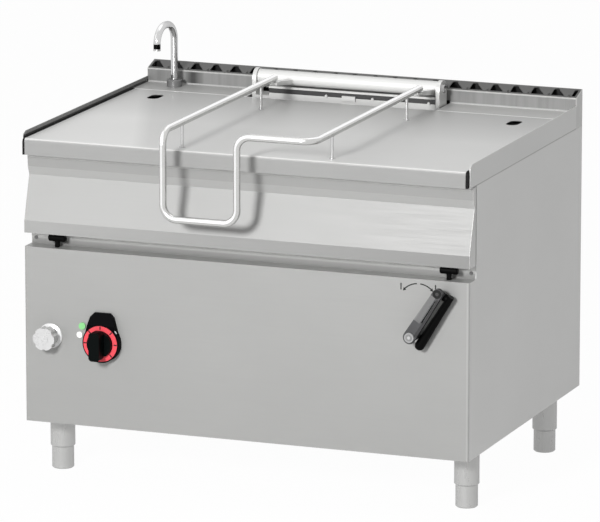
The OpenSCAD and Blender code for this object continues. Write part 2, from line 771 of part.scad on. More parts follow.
// Worm: one thread wound on the vertical shaft, meshing with the sector behind the tilt axis
worm_turns = 3;
worm_len = worm_turns * drive_pitch;
worm_core_r = worm_r - drive_root;
worm_tip_r = worm_r + drive_addendum;
shaft_r = 8;
shaft_end_r = 6;
thread_share = 0.4;
thread_tip_share = 0.2;
worm_sides = 24;
box_half = 32;
module tilt_worm() {
    low = tilt_z - worm_len / 2;
    high = tilt_z + worm_len / 2;
    foot = drive_pitch * thread_share / 2;
    tip = drive_pitch * thread_tip_share / 2;
    deep = worm_core_r - over;
    steps = worm_turns * worm_sides;
    // The thread faces the sector (the side towards -Y) at the tilt axis's height
    rings = [for (i = [0:steps]) let (a = -90 + (i - steps / 2) * 360 / worm_sides,
        z = tilt_z + (i - steps / 2) * drive_pitch / worm_sides)
        each [for (q = [[deep, -foot], [worm_tip_r, -tip], [worm_tip_r, tip], [deep, foot]])
            [q[0] * cos(a), q[0] * sin(a), z + q[1]]]];
    color("darkgray") in_frame() translate([crank_x, worm_y, 0]) {
        polyhedron(points = rings, faces = concat([[3, 2, 1, 0]], [[for (k = [0:3]) 4 * steps + k]],
            [for (i = [0:steps - 1], k = [0:3]) each [
                [4 * i + k, 4 * i + (k + 1) % 4, 4 * (i + 1) + k],
                [4 * i + (k + 1) % 4, 4 * (i + 1) + (k + 1) % 4, 4 * (i + 1) + k]]]), convexity = 10);
        rod_z(low - drive_pitch / 2, high + drive_pitch / 4, 0, 0, worm_core_r);
        rod_z(crank_z + box_half / 2 + over, tilt_z, 0, 0, shaft_r);
        rod_z(tilt_z, stand_top - over, 0, 0, shaft_end_r);
    }
}

// Closed angle gearbox that turns the crank's drive upwards
box_flange = 4;
module angle_gearbox() {
    color("slategray") in_frame() difference() {
        union() {
            block([crank_x - box_half, worm_y - box_half, crank_z - box_half],
                  [crank_x + box_half, worm_y + box_half, crank_z + box_half]);
            rod_y(worm_y - box_half - box_flange, worm_y - box_half, crank_x, crank_z, 2 * shaft_r);
            rod_z(crank_z + box_half, crank_z + box_half + box_flange, crank_x, worm_y, 2 * shaft_r);
        }
        rod_y(worm_y - box_half - box_flange - over, worm_y - box_half / 2, crank_x, crank_z, shaft_r + run);
        rod_z(crank_z + box_half / 2, crank_z + box_half + box_flange + over, crank_x, worm_y, shaft_r + run);
    }
}

// Stand of the gearbox, with an arm that holds the worm's upper end
stand_w = 44;
stand_t = 6;
worm_end = 16;
stand_top = tilt_z + worm_len / 2 + worm_end;
stand_arm = 9;
module gearbox_stand() {
    y = worm_y + box_half + gap;
    color("dimgray") in_frame() {
        block([crank_x - stand_w / 2, worm_y, bar_z], [crank_x + stand_w / 2, y + stand_t, bar_z + stand_t]);
        block([crank_x - stand_w / 2, y, bar_z + stand_t], [crank_x + stand_w / 2, y + stand_t, stand_top]);
        block([crank_x - stand_w / 2, worm_y - box_half, crank_z - box_half - stand_t],
              [crank_x + stand_w / 2, y, crank_z - box_half]);
        difference() {
            block([crank_x - stand_w / 2, worm_y - worm_r + shaft_end_r, stand_top - stand_arm],
                  [crank_x + stand_w / 2, y, stand_top]);
            rod_z(stand_top - 2 * stand_arm, stand_top + over, crank_x, worm_y, shaft_end_r + run);
        }
    }
}

bearing_flange_r = 21;
bearing_flange_t = 6;
module crank_bearing() {
    color("silver") in_frame() difference() {
        union() {
            rod_y(-bearing_flange_t, 0, crank_x, crank_z, bearing_flange_r);
            rod_y(0, 3 * bearing_flange_t, crank_x, crank_z, bearing_r);
        }
        rod_y(-2 * bearing_flange_t, 4 * bearing_flange_t, crank_x, crank_z, shaft_r + run);
    }
}

// Crank: local Z runs up the arm, and Y stays the crank's axis
module on_crank() { in_frame() translate([crank_x, 0, crank_z]) rotate([0, crank_lean, 0]) children(); }
arm_t = 14;
arm_back_y = -36;
arm_front_y = arm_back_y - arm_t;
arm_hub_r = 17;
arm_tip_r = 12.5;
cap_r = 12.4;
cap_t = 5;
module crank_shaft() {
    color("silver") in_frame() rod_y(arm_front_y, worm_y - box_half / 2 - over, crank_x, crank_z, shaft_r);
}
arm_slot_w = 3;
arm_slot_share = 0.5;
arm_slot_at_share = 0.62;
step_share = 0.36;
boss_r = 14;
ear_r = 10;
ear_w = 14;
ear_drop = 6;
ear_z = crank_len - ear_drop;
grip_y = arm_back_y + 16;
grip_pin_r = 4;
module crank_arm() {
    color([0.4, 0.4, 0.4]) on_crank() difference() {
        union() {
            along_y(arm_front_y, arm_back_y) difference() {
                hull() {
                    circle(arm_hub_r, $fn = 48);
                    translate([0, crank_len]) circle(arm_tip_r, $fn = 48);
                }
                translate([arm_tip_r / 2, crank_len * arm_slot_at_share])
                    slot_shape(arm_slot_w, crank_len * arm_slot_share);
            }
            rod_y(arm_back_y, -bearing_flange_t - 2 * over, 0, 0, boss_r);
            // Ear behind the arm's end, for the grip's pin
            rod_x(-ear_w / 2, arm_tip_r, grip_y, ear_z, ear_r);
            block([-ear_w / 2, arm_back_y - over, ear_z - ear_r / 2], [arm_tip_r, grip_y, ear_z + ear_r / 2]);
        }
        // Flat that lets the grip's thick end fold past the hub
        block([grip_x - grip_r - grip_pass, arm_front_y - over, -2 * arm_hub_r],
              [2 * arm_hub_r, arm_back_y + over, ear_z - ear_r]);
        // Step in the front face, half way up the arm
        block([-arm_hub_r, arm_front_y - over, crank_len * step_share],
              [arm_tip_r * step_share, arm_front_y + over, crank_len - arm_tip_r]);
        rod_y(arm_front_y - over, 0, 0, 0, shaft_r);
        rod_x(-arm_tip_r, arm_tip_r + over, grip_y, ear_z, grip_pin_r + run);
    }
}
module crank_cap() {
    color("whitesmoke") on_crank() {
        rod_y(arm_front_y - cap_t + over, arm_front_y, 0, 0, cap_r);
        rod_y(arm_front_y - cap_t, arm_front_y - cap_t + over, 0, 0, cap_r / 2);
    }
}

// Folding grip, beside the arm and hinged across the arm's end
grip_r = 12.7;
grip_x = boss_r + grip_r + over;
grip_pass = 0.6;
grip_neck_r = 9;
grip_len = 155;
grip_eye = 11;
module crank_grip() {
    from = arm_tip_r + gap;
    color([0.07, 0.07, 0.07]) on_crank() translate([grip_x, grip_y, ear_z]) {
        rotate([180, 0, 0]) rotate_extrude() polygon(concat([[0, -grip_eye]], [[grip_neck_r, -grip_eye]],
            [[grip_neck_r + over, grip_len / 3]], arc([0, grip_len - grip_r], grip_r, 0, 90, 8)));
        rod_x(from - grip_x, -grip_neck_r / 2, 0, 0, grip_eye - over);
        rod_x(-ear_w / 2 - grip_x, from - grip_x, 0, 0, grip_pin_r);
    }
}

// Thermostat
bezel_t = 20;
bezel_rim = 3.5;
bezel_r = ring_d / 2 + bezel_rim;
bezel_top = 77;
bezel_top_t = 9;
bezel_top_w = 62;
bezel_round = 10;
bezel_side_share = 0.955;
bezel_low_share = 0.15;
bezel_slope = atan((bezel_t - bezel_top_t) / (bezel_top - ring_d / 2));
module thermostat_bezel() {
    x = bezel_top_w / 2;
    side = bezel_r * bezel_side_share;
    low = bezel_r * bezel_low_share;
    color([0.05, 0.05, 0.05]) in_frame() difference() {
        translate([dial_x, 0, dial_z]) union() {
            rod_y(-bezel_t, 0, 0, 0, bezel_r);
            along_y(-bezel_t, 0) polygon([[-side, low], [-x, bezel_top - bezel_round],
                [-x + bezel_round, bezel_top], [x - bezel_round, bezel_top], [x, bezel_top - bezel_round],
                [side, low]]);
        }
        // The face falls back towards the panel above the ring
        translate([dial_x, -bezel_t, dial_z + ring_d / 2]) rotate([-bezel_slope, 0, 0])
            block([-ring_d, -bezel_t, 0], [ring_d, 0, 2 * bezel_top]);
        rod_y(-2 * bezel_t, over, dial_x, dial_z, dial_hole_r);
    }
}

ring_w = 12;
ring_t = 2;
module dial_ring() {
    color([0.85, 0.2, 0.22]) in_frame() translate([dial_x, 0, dial_z])
        along_y(-bezel_t - ring_t, -bezel_t) difference() {
        circle(ring_d / 2);
        circle(ring_d / 2 - ring_w);
    }
}

stem_r = 3;
knob_base_r = ring_d / 2 - ring_w - over;
knob_base_t = 12;
knob_out = 44;
knob_grip_w = 29;
knob_grip_len = 74;
knob_grip_r = 9;
module thermostat_knob() {
    y = -bezel_t - gap;
    color([0.06, 0.06, 0.06]) in_frame() translate([dial_x, 0, dial_z]) {
        rod_y(y - knob_base_t, y, 0, 0, knob_base_r);
        rod_y(y, panel_lip - 2 * over, 0, 0, stem_r);
        // Grip across the knob
        along_y(y - knob_out, y - knob_base_t) round_rect(knob_grip_w, knob_grip_len, knob_grip_r);
    }
}

body_half = 24;
body_depth = 38;
module thermostat_body() {
    color("dimgray") in_frame() difference() {
        union() {
            block([dial_x - body_half, sheet, dial_z - body_half],
                  [dial_x + body_half, sheet + body_depth, dial_z + body_half]);
            rod_x(dial_x + body_half, dial_x + 1.5 * body_half, body_depth / 2, dial_z, stem_r * 2);
        }
        rod_y(sheet - over, panel_lip, dial_x, dial_z, stem_r + run);
    }
}

lamp_green_in = 57;
lamp_green_up = 38;
lamp_white_in = 64;
lamp_white_up = 15;
lamp_green = [dial_x - lamp_green_in, dial_z + lamp_green_up];
lamp_white = [dial_x - lamp_white_in, dial_z + lamp_white_up];
lamp_r = 9;
lamp_t = 5;
module pilot_lamp(p, r) {
    rod_y(-lamp_t, 0, p[0], p[1], r);
    rod_y(0, 4 * lamp_t, p[0], p[1], lamp_hole_r);
}
module pilot_lamp_green() { color([0.5, 0.95, 0.5]) in_frame() pilot_lamp(lamp_green, lamp_r); }
module pilot_lamp_white() { color("white") in_frame() pilot_lamp(lamp_white, lamp_r - over); }

// Water valve behind the panel, its rosette and its lobed knob
rosette_r = 32;
rosette_t = 6;
valve_stem_r = 7;
valve_body_r = 15;
valve_body_l = 60;
valve_tail = 8;
knob_lobes = 6;
knob_face_y = -46;
knob_hub_y = -20;
knob_r = 29.5;
lobe_out_share = 1.2;
lobe_cut_share = 0.3;
knob_cap_share = 0.4;
module valve_rosette() {
    color("whitesmoke") in_frame() difference() {
        union() {
            rod_y(-rosette_t / 2, 0, valve_x, valve_z, rosette_r);
            translate([valve_x, -rosette_t / 2, valve_z]) rotate([90, 0, 0])
                cylinder(h = rosette_t, r1 = rosette_r, r2 = rosette_r / 2);
        }
        rod_y(-3 * rosette_t, over, valve_x, valve_z, valve_stem_r + run);
    }
}
module valve_knob() {
    color("whitesmoke") in_frame() translate([valve_x, 0, valve_z]) {
        along_y(knob_face_y, knob_hub_y) difference() {
            circle(knob_r);
            for (i = [0:knob_lobes - 1]) rotate(360 / knob_lobes * (i + 0.5)) 
                translate([knob_r * lobe_out_share, 0]) circle(knob_r * lobe_cut_share);
        }
        rod_y(knob_face_y - over, knob_face_y, 0, 0, knob_r * knob_cap_share);
        rod_y(knob_hub_y, panel_lip, 0, 0, valve_stem_r);
    }
}
module water_valve() {
    color("goldenrod") in_frame() difference() {
        union() {
            rod_y(sheet, sheet + valve_body_l, valve_x, valve_z, valve_body_r);
            rod_z(valve_z - valve_body_r - valve_tail, valve_z - valve_body_r / 2,
                  valve_x, sheet + valve_body_l / 2, 1.5 * pipe_r);
        }
        rod_y(sheet - over, panel_lip + over, valve_x, valve_z, valve_stem_r + run);
    }
}

pipe_r = 6;
pipe_bend = 22;
module water_pipe() {
    y = sheet + valve_body_l;
    color("peru") in_frame() {
        bent_bar([[valve_x, y, valve_z], [valve_x, tap_y, valve_z],
            [valve_x, tap_y, deck_h - 2 * pipe_bend], [tap_x, tap_y, deck_h - 2 * pipe_bend],
            [tap_x, tap_y, deck_h - sheet - gap]], pipe_r, pipe_bend / 2);
        bent_bar([[inlet[0], back_y - inlet_l, inlet[1]], [inlet[0], y - valve_body_l / 2, inlet[1]],
            [valve_x, y - valve_body_l / 2, valve_z - valve_body_r - valve_tail]], pipe_r, pipe_bend);
    }
}

inlet_l = 20;
inlet_flange = 4;
module water_inlet() {
    color("goldenrod") in_frame() difference() {
        union() {
            rod_y(back_y - inlet_l, body_d, inlet[0], inlet[1], inlet_r - run);
            rod_y(back_y - inlet_flange, back_y, inlet[0], inlet[1], 1.5 * inlet_r);
        }
        rod_y(back_y - inlet_l / 2, body_d + over, inlet[0], inlet[1], inlet_r / 2);
    }
}

module cable_gland() {
    color([0.15, 0.15, 0.15]) in_frame() difference() {
        union() {
            rod_y(back_y - 2 * inlet_l, body_d, gland[0], gland[1], gland_r - run);
            rod_y(back_y - 2 * inlet_flange, back_y, gland[0], gland[1], 1.4 * gland_r);
        }
        rod_y(back_y - inlet_l, body_d + over, gland[0], gland[1], gland_r / 2);
    }
}

terminal = [180, 60, 240];
box_wall = 2;
module terminal_box() {
    x = dial_x + 2 * body_half;
    low = dial_z - terminal[2] / 2;
    wall = [box_wall, box_wall, box_wall];
    color("lightslategray") in_frame() difference() {
        block([x, sheet, low], [x + terminal[0], sheet + terminal[1], low + terminal[2]]);
        block([x, sheet - 2 * box_wall, low] + wall,
              [x + terminal[0], sheet + terminal[1], low + terminal[2]] - wall);
    }
}

// Tap: a base on the deck and a spout that swivels in it
tap_base_r = 20;
tap_base_h = 19;
tap_tail_r = 8;
tap_stem_r = 7;
tap_socket_share = 0.4;
module tap_base() {
    color("silver") in_frame() difference() {
        union() {
            rod_z(deck_h, deck_h + tap_base_h - 2 * over, tap_x, tap_y, tap_base_r);
            translate([tap_x, tap_y, deck_h + tap_base_h - 2 * over])
                cylinder(h = 2 * over, r1 = tap_base_r, r2 = tap_base_r - 2 * over);
            rod_z(deck_h - sheet - gap, deck_h, tap_x, tap_y, tap_tail_r);
        }
        rod_z(deck_h + tap_base_h * tap_socket_share, deck_h + tap_base_h + over,
              tap_x, tap_y, tap_stem_r + run);
    }
}
tip_t = 3;
tip_drop = 12;
tip_bore_share = 0.7;
tap_bend_share = 0.46;
module tap_spout() {
    r = tap_d / 2;
    bend = tap_reach * tap_bend_share;
    crown = deck_h + tap_h - r;
    low = crown - bend - tip_drop;
    color("gainsboro") in_frame() translate([tap_x, tap_y, 0]) rotate([0, 0, -tap_swing]) difference() {
        union() {
            rod_z(deck_h + tap_base_h * tap_socket_share + over, deck_h + tap_base_h + gap,
                  0, 0, tap_stem_r);
            bent_bar([[0, 0, deck_h + tap_base_h + gap], [0, 0, crown], [0, -tap_reach, crown],
                [0, -tap_reach, low]], r, bend);
            rod_z(low - tip_t, low, 0, -tap_reach, r + over / 2);
        }
        rod_z(low - tip_t - over, low + tip_drop / 2, 0, -tap_reach, r * tip_bore_share);
    }
}

// Carrier of the lid hinge: a box on a shelf at the pan's back, with an upright screen below the tube
carrier_t = 3;
carrier_front = axis_y - bracket_d / 2;
carrier_back = axis_y + bracket_d / 2;
shelf_z = rim_z - 2 * carrier_t;
screen_in = 48;
screen_h = 21;
tie_h = 5;
tie_d = 5;
carrier_block = [37, 6, 13];
carrier_bolt_r = 3.5;
carrier_bolts = [-63, 66, 222];
module hinge_carrier() {
    left = -tube_left - bracket_t;
    right = tube_right + bracket_t;
    screen_top = deck_h + screen_h;
    color("gray") in_frame() {
        along_x(left, right)
            polygon(folded([[casing_back, casing_z + bar], [casing_back, shelf_z],
                [carrier_back, shelf_z]], -carrier_t));
        along_x(left, right)
            polygon(folded([[carrier_front, shelf_z], [carrier_front, deck_h], [carrier_back, deck_h],
                [carrier_back, shelf_z]], -carrier_t));
        block([left + screen_in, carrier_front, deck_h],
              [tube_right, carrier_front + carrier_t, screen_top]);
        block([left + screen_in, carrier_front - tie_d + carrier_t, screen_top],
              [tube_right, carrier_front + carrier_t, screen_top + tie_h]);
        block([-carrier_block[0] / 2, carrier_front - carrier_block[1], deck_h + over],
              [carrier_block[0] / 2, carrier_front, deck_h + over + carrier_block[2]]);
        for (x = carrier_bolts)
            rod_y(carrier_front - tie_d, carrier_front, x, deck_h + screen_h / 2, carrier_bolt_r);
    }
}

bracket_bore_r = 8;
module hinge_brackets() {
    half = bracket_d / 2;
    top = axis_z - deck_h - tube_d / 2 + half / 2;
    color("whitesmoke") in_frame() for (x = [-tube_left - bracket_t, tube_right + 2 * gap])
        along_x(x, x + bracket_t - 2 * gap) translate([axis_y, deck_h]) difference() {
            union() {
                translate([-half, 0]) square([bracket_d, top]);
                translate([0, top]) intersection() {
                    circle(half);
                    translate([-half, 0]) square([bracket_d, half]);
                }
            }
            translate([0, axis_z - deck_h]) circle(bracket_bore_r);
        }
}

nut_r = 11;
nut_t = 5;
module hinge_shaft() {
    left = -tube_left - bracket_t;
    right = tube_right + bracket_t;
    color("silver") in_frame() {
        rod_x(left, right, axis_y, axis_z, bracket_bore_r);
        for (x = [left - nut_t, right]) translate([x, axis_y, axis_z]) rotate([0, 90, 0])
            cylinder(h = nut_t, r = nut_r, $fn = 6);
    }
}

// Hinge tube: turns with the lid on the shaft, with a bush at each end
tube_wall = 2;
bush_len = 12;
module hinge_tube() {
    length = tube_right + tube_left - 2 * gap;
    inner = tube_d / 2 - tube_wall;
    color("whitesmoke") in_frame() translate([gap - tube_left, axis_y, axis_z]) rotate([0, 90, 0])
        rotate_extrude() polygon([[bracket_bore_r + run, 0], [tube_d / 2, 0], [tube_d / 2, length],
            [bracket_bore_r + run, length], [bracket_bore_r + run, length - bush_len],
            [inner, length - bush_len],
            [inner, bush_len], [bracket_bore_r + run, bush_len]]);
}

// Links from the hinge tube to the ends of the handle's arms
link_w = 14;
link_t = 7;
module hinge_links() {
    under = arm_z - handle_d / 2;
    // Each link reaches from its arm towards the middle
    color("silver") in_frame() for (s = [-1, 1]) translate([s < 0 ? -arm_left : arm_right, 0, 0])
        mirror([s < 0 ? 0 : 1, 0, 0]) difference() {
            along_x(-handle_d / 3, link_w) polygon([
                [arm_end - 3 * link_t, under], [arm_end - 3 * link_t, under - link_t],
                [axis_y, axis_z - tube_d / 2 + link_t / 2], [axis_y, axis_z], [axis_y - tube_d / 2, axis_z],
                [arm_end + link_t, under]]);
            rod_x(-2 * link_w, 2 * link_w, axis_y, axis_z, tube_d / 2);
        }
}

// Lid: a folded shell with a liner below it
lid_bend_r = 6;
liner_up = 4;
module lid_shell() {
    color("lightgray") in_frame() difference() {
        union() {
            along_x(-lid_x, lid_x) polygon(folded(concat([[-lid_proud, lid_z]],
                arc([-lid_proud + lid_bend_r, deck_h - lid_bend_r], lid_bend_r, 180, 90),
                [[lid_back, deck_h], [lid_back, lid_z]]), -sheet));
            for (s = [-1, 1]) {
                x = s > 0 ? lid_x - sheet : -lid_x;
                along_x(x, x + sheet) polygon([
                    [-lid_proud + sheet, lid_z], [-lid_proud + sheet, deck_h - lid_bend_r],
                    [-lid_proud + lid_bend_r, deck_h - sheet], [lid_back - sheet, deck_h - sheet],
                    [lid_back - sheet, lid_z]]);
            }
        }
        for (s = [-1, 1]) translate([s * vent_x, vent_y, lid_z])
            linear_extrude(2 * lid_h) slot_shape(vent_w, vent_len);
    }
}
module lid_liner() {
    inset = sheet + run;
    low = lid_z + liner_up;
    color("silver") in_frame() difference() {
        block([-lid_x + inset, -lid_proud + inset, low], [lid_x - inset, lid_back - inset, low + sheet]);
        for (s = [-1, 1]) translate([s * vent_x, vent_y, lid_z])
            linear_extrude(lid_h) slot_shape(vent_w, vent_len);
    }
}
module lid_seals() {
    color([0.05, 0.05, 0.05]) in_frame() for (s = [-1, 1]) {
        x = s > 0 ? lid_x : -lid_x - seal_w;
        r = 2 * lid_bend_r;
        along_x(x, x + seal_w) polygon(concat([[-lid_proud - over, lid_z]],
            arc([-lid_proud - over + r, deck_h + over - r], r, 180, 90),
            [[lid_back, deck_h + over], [lid_back, lid_z]]));
    }
}

module lid_handle() {
    low = arm_z - grip_drop;
    color("whitesmoke") in_frame() bent_bar([[-arm_left, arm_end, arm_z], [-arm_left, -grip_out, arm_z],
        [-arm_left, -grip_out, low], [leg_right, -grip_out, low], [leg_right, -grip_out, arm_z],
        [arm_right, -grip_out, arm_z], [arm_right, arm_end, arm_z]], handle_d / 2, handle_bend);
}

post_r = 4;
post_front_y = 27;
post_rear_y = 566;
post_places = [for (x = [-arm_left, arm_right], y = [post_front_y, post_rear_y]) [x, y]];
module handle_posts() {
    color("silver") in_frame() for (p = post_places) {
        difference() {
            rod_z(deck_h, arm_z, p[0], p[1], post_r);
            rod_y(p[1] - 2 * handle_d, p[1] + 2 * handle_d, p[0], arm_z, handle_d / 2);
        }
        rod_z(deck_h, deck_h + over, p[0], p[1], 2 * post_r);
    }
}

base_frame();
leg_tubes();
adjustable_feet();
bottom_plate();
corner_posts();
frame_rails();
front_panel();
panel_screws();
left_side_panel();
right_side_panel();
back_panel();
left_cheek();
right_cheek();
rear_deck();
rear_upstand();
flue_grille();
pivot_posts();
crank_bearing();
gearbox_stand();
angle_gearbox();
thermostat_body();
thermostat_bezel();
dial_ring();
pilot_lamp_green();
pilot_lamp_white();
water_valve();
valve_rosette();
water_pipe();
tap_base();
terminal_box();
cable_gland();
water_inlet();
rest_pads();
pan_basin();
pan_casing();
pan_fascia();
pan_beams();
pivot_forks();
pivot_pins();
tilt_sector();
heating_elements();
insulation_board();
hinge_carrier();
hinge_brackets();
hinge_shaft();
lid_shell();
lid_liner();
lid_seals();
hinge_tube();
hinge_links();
lid_handle();
handle_posts();
crank_shaft();
crank_arm();
crank_cap();
crank_grip();
tilt_worm();
thermostat_knob();
valve_knob();
tap_spout();
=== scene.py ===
import math
import bmesh
import bpy
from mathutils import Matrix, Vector


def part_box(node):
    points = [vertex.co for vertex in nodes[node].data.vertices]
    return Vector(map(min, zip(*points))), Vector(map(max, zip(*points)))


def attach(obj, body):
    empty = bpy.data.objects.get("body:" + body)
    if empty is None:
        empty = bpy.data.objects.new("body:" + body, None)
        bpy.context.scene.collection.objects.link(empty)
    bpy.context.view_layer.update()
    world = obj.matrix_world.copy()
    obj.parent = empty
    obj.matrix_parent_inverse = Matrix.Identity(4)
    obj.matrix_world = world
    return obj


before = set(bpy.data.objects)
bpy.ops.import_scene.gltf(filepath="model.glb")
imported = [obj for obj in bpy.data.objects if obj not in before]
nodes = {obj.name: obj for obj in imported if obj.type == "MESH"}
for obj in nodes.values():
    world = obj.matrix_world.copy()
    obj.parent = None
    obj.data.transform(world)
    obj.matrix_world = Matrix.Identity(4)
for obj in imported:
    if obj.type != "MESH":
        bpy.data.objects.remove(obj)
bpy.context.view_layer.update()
print("model loaded with", len(nodes), "nodes")

# camera: the photo's angle, from the front right and a little above
cameraView = {"place": (5.2972, -13.7076, 3.7781), "aim": (0.3287, -0.8397, 0.7332), "lens": 352.0,
              "sensor": 36.0, "reach": 300.0}
cameraData = bpy.data.cameras.new("photoCamera")
cameraData.sensor_fit = "HORIZONTAL"
cameraData.sensor_width = cameraView["sensor"]
cameraData.lens = cameraView["lens"]
cameraData.clip_end = cameraView["reach"]
cameraObject = bpy.data.objects.new("photoCamera", cameraData)
bpy.context.scene.collection.objects.link(cameraObject)
cameraObject.location = cameraView["place"]
towards = Vector(cameraView["aim"]) - Vector(cameraView["place"])
cameraObject.rotation_euler = towards.to_track_quat("-Z", "Y").to_euler()
bpy.context.scene.camera = cameraObject
bpy.context.scene.view_settings.view_transform = "Standard"
print("camera set")


def newGroup(name, inputs, outputs):
    group = bpy.data.node_groups.new(name, "ShaderNodeTree")
    for label, kind, value in inputs:
        socket = group.interface.new_socket(name=label, in_out="INPUT", socket_type=kind)
        socket.default_value = value
    for label, kind in outputs:
        group.interface.new_socket(name=label, in_out="OUTPUT", socket_type=kind)
    return group, group.nodes.new("NodeGroupInput"), group.nodes.new("NodeGroupOutput")


def addNode(tree, kind, **settings):
    node = tree.nodes.new(kind)
    for key, value in settings.items():
        setattr(node, key, value)
    return node


def addMath(tree, operation, *values):
    node = addNode(tree, "ShaderNodeMath", operation=operation)
    for index, value in enumerate(values):
        if isinstance(value, (int, float)):
            node.inputs[index].default_value = value
        else:
            tree.links.new(value, node.inputs[index])
    return node.outputs[0]


noiseMiddle = 0.5
noiseSpread = (0.3, 0.7)  # most of a noise's values lie between these
grainNoise = {"scale": 1.0, "detail": 5.0, "roughness": 0.62, "smudgeDetail": 3.0}
speckleNoise = {"detail": 2.0, "patchDetail": 4.0}


# brushed grain: noise drawn out along one direction of the sheet, and slow smudges
def makeBrushGrain():
    group, inside, outside = newGroup("brushGrain", [
        ("Stretch", "NodeSocketVector", (20.0, 20.0, 900.0)), ("Contrast", "NodeSocketFloat", 1.0),
        ("Smudge Size", "NodeSocketFloat", 3.0)],
        [("Grain", "NodeSocketFloat"), ("Smudge", "NodeSocketFloat")])
    place = addNode(group, "ShaderNodeTexCoord")
    spread = addNode(group, "ShaderNodeVectorMath", operation="MULTIPLY")
    group.links.new(place.outputs["Object"], spread.inputs[0])
    group.links.new(inside.outputs["Stretch"], spread.inputs[1])
    lines = addNode(group, "ShaderNodeTexNoise")
    lines.inputs["Scale"].default_value = grainNoise["scale"]
    lines.inputs["Detail"].default_value = grainNoise["detail"]
    lines.inputs["Roughness"].default_value = grainNoise["roughness"]
    group.links.new(spread.outputs[0], lines.inputs["Vector"])
    centred = addMath(group, "SUBTRACT", lines.outputs["Fac"], noiseMiddle)
    stronger = addMath(group, "MULTIPLY", centred, inside.outputs["Contrast"])
    grain = addMath(group, "ADD", stronger, noiseMiddle)
    group.links.new(grain, outside.inputs["Grain"])
    cloud = addNode(group, "ShaderNodeTexNoise")
    cloud.inputs["Detail"].default_value = grainNoise["smudgeDetail"]
    group.links.new(place.outputs["Object"], cloud.inputs["Vector"])
    group.links.new(inside.outputs["Smudge Size"], cloud.inputs["Scale"])
    group.links.new(cloud.outputs["Fac"], outside.inputs["Smudge"])
    return group


# fine even speckle of moulded and painted surfaces, with rubbed patches
def makeFineSpeckle():
    group, inside, outside = newGroup("fineSpeckle", [
        ("Size", "NodeSocketFloat", 600.0), ("Patch Size", "NodeSocketFloat", 18.0)],
        [("Speckle", "NodeSocketFloat"), ("Rubbed", "NodeSocketFloat")])
    place = addNode(group, "ShaderNodeTexCoord")
    dots = addNode(group, "ShaderNodeTexNoise")
    dots.inputs["Detail"].default_value = speckleNoise["detail"]
    group.links.new(place.outputs["Object"], dots.inputs["Vector"])
    group.links.new(inside.outputs["Size"], dots.inputs["Scale"])
    group.links.new(dots.outputs["Fac"], outside.inputs["Speckle"])
    patch = addNode(group, "ShaderNodeTexNoise")
    patch.inputs["Detail"].default_value = speckleNoise["patchDetail"]
    group.links.new(place.outputs["Object"], patch.inputs["Vector"])
    group.links.new(inside.outputs["Patch Size"], patch.inputs["Scale"])
    group.links.new(patch.outputs["Fac"], outside.inputs["Rubbed"])
    return group


# 1 inside a box in the piece's own frame, 0 outside it; Turn leans the box about the Y axis
def makeBoxMask():
    group, inside, outside = newGroup("boxMask", [
        ("Middle", "NodeSocketVector", (0.0, 0.0, 0.0)), ("Half", "NodeSocketVector", (1.0, 1.0, 1.0)),
        ("Turn", "NodeSocketFloat", 0.0)],
        [("Mask", "NodeSocketFloat")])
    place = addNode(group, "ShaderNodeTexCoord")
    offset = addNode(group, "ShaderNodeVectorMath", operation="SUBTRACT")
    group.links.new(place.outputs["Object"], offset.inputs[0])
    group.links.new(inside.outputs["Middle"], offset.inputs[1])
    upright = addNode(group, "ShaderNodeVectorRotate", rotation_type="Y_AXIS")
    group.links.new(offset.outputs[0], upright.inputs["Vector"])
    group.links.new(inside.outputs["Turn"], upright.inputs["Angle"])
    away = addNode(group, "ShaderNodeVectorMath", operation="ABSOLUTE")
    group.links.new(upright.outputs[0], away.inputs[0])
    spare = addNode(group, "ShaderNodeVectorMath", operation="SUBTRACT")
    group.links.new(inside.outputs["Half"], spare.inputs[0])
    group.links.new(away.outputs[0], spare.inputs[1])
    parts = addNode(group, "ShaderNodeSeparateXYZ")
    group.links.new(spare.outputs[0], parts.inputs[0])
    least = addMath(group, "MINIMUM", parts.outputs["X"], parts.outputs["Y"])
    least = addMath(group, "MINIMUM", least, parts.outputs["Z"])
    group.links.new(addMath(group, "GREATER_THAN", least, 0.0), outside.inputs["Mask"])
    return group


# 1 within a radius of a line along Y, 0 further out
def makeDiskMask():
    group, inside, outside = newGroup("diskMask", [
        ("Middle", "NodeSocketVector", (0.0, 0.0, 0.0)), ("Radius", "NodeSocketFloat", 1.0)],
        [("Mask", "NodeSocketFloat")])
    place = addNode(group, "ShaderNodeTexCoord")
    offset = addNode(group, "ShaderNodeVectorMath", operation="SUBTRACT")
    group.links.new(place.outputs["Object"], offset.inputs[0])
    group.links.new(inside.outputs["Middle"], offset.inputs[1])
    flat = addNode(group, "ShaderNodeVectorMath", operation="MULTIPLY")
    flat.inputs[1].default_value = (1.0, 0.0, 1.0)  # leaves the Y out
    group.links.new(offset.outputs[0], flat.inputs[0])
    distance = addNode(group, "ShaderNodeVectorMath", operation="LENGTH")
    group.links.new(flat.outputs[0], distance.inputs[0])
    near = addMath(group, "LESS_THAN", distance.outputs["Value"], inside.outputs["Radius"])
    group.links.new(near, outside.inputs["Mask"])
    return group


brushGrain = makeBrushGrain()
fineSpeckle = makeFineSpeckle()
boxMask = makeBoxMask()
diskMask = makeDiskMask()


# a value stretched from one span to another, and held at the ends
def mapped(tree, source, low, high, span=noiseSpread):
    node = addNode(tree, "ShaderNodeMapRange")
    node.inputs["From Min"].default_value = span[0]
    node.inputs["From Max"].default_value = span[1]
    node.inputs["To Min"].default_value = low
    node.inputs["To Max"].default_value = high
    tree.links.new(source, node.inputs["Value"])
    return node.outputs["Result"]


mixColourIn = (6, 7)  # the mix node has a pair of sockets for each kind of data, and these are the colours
mixColourOut = 2


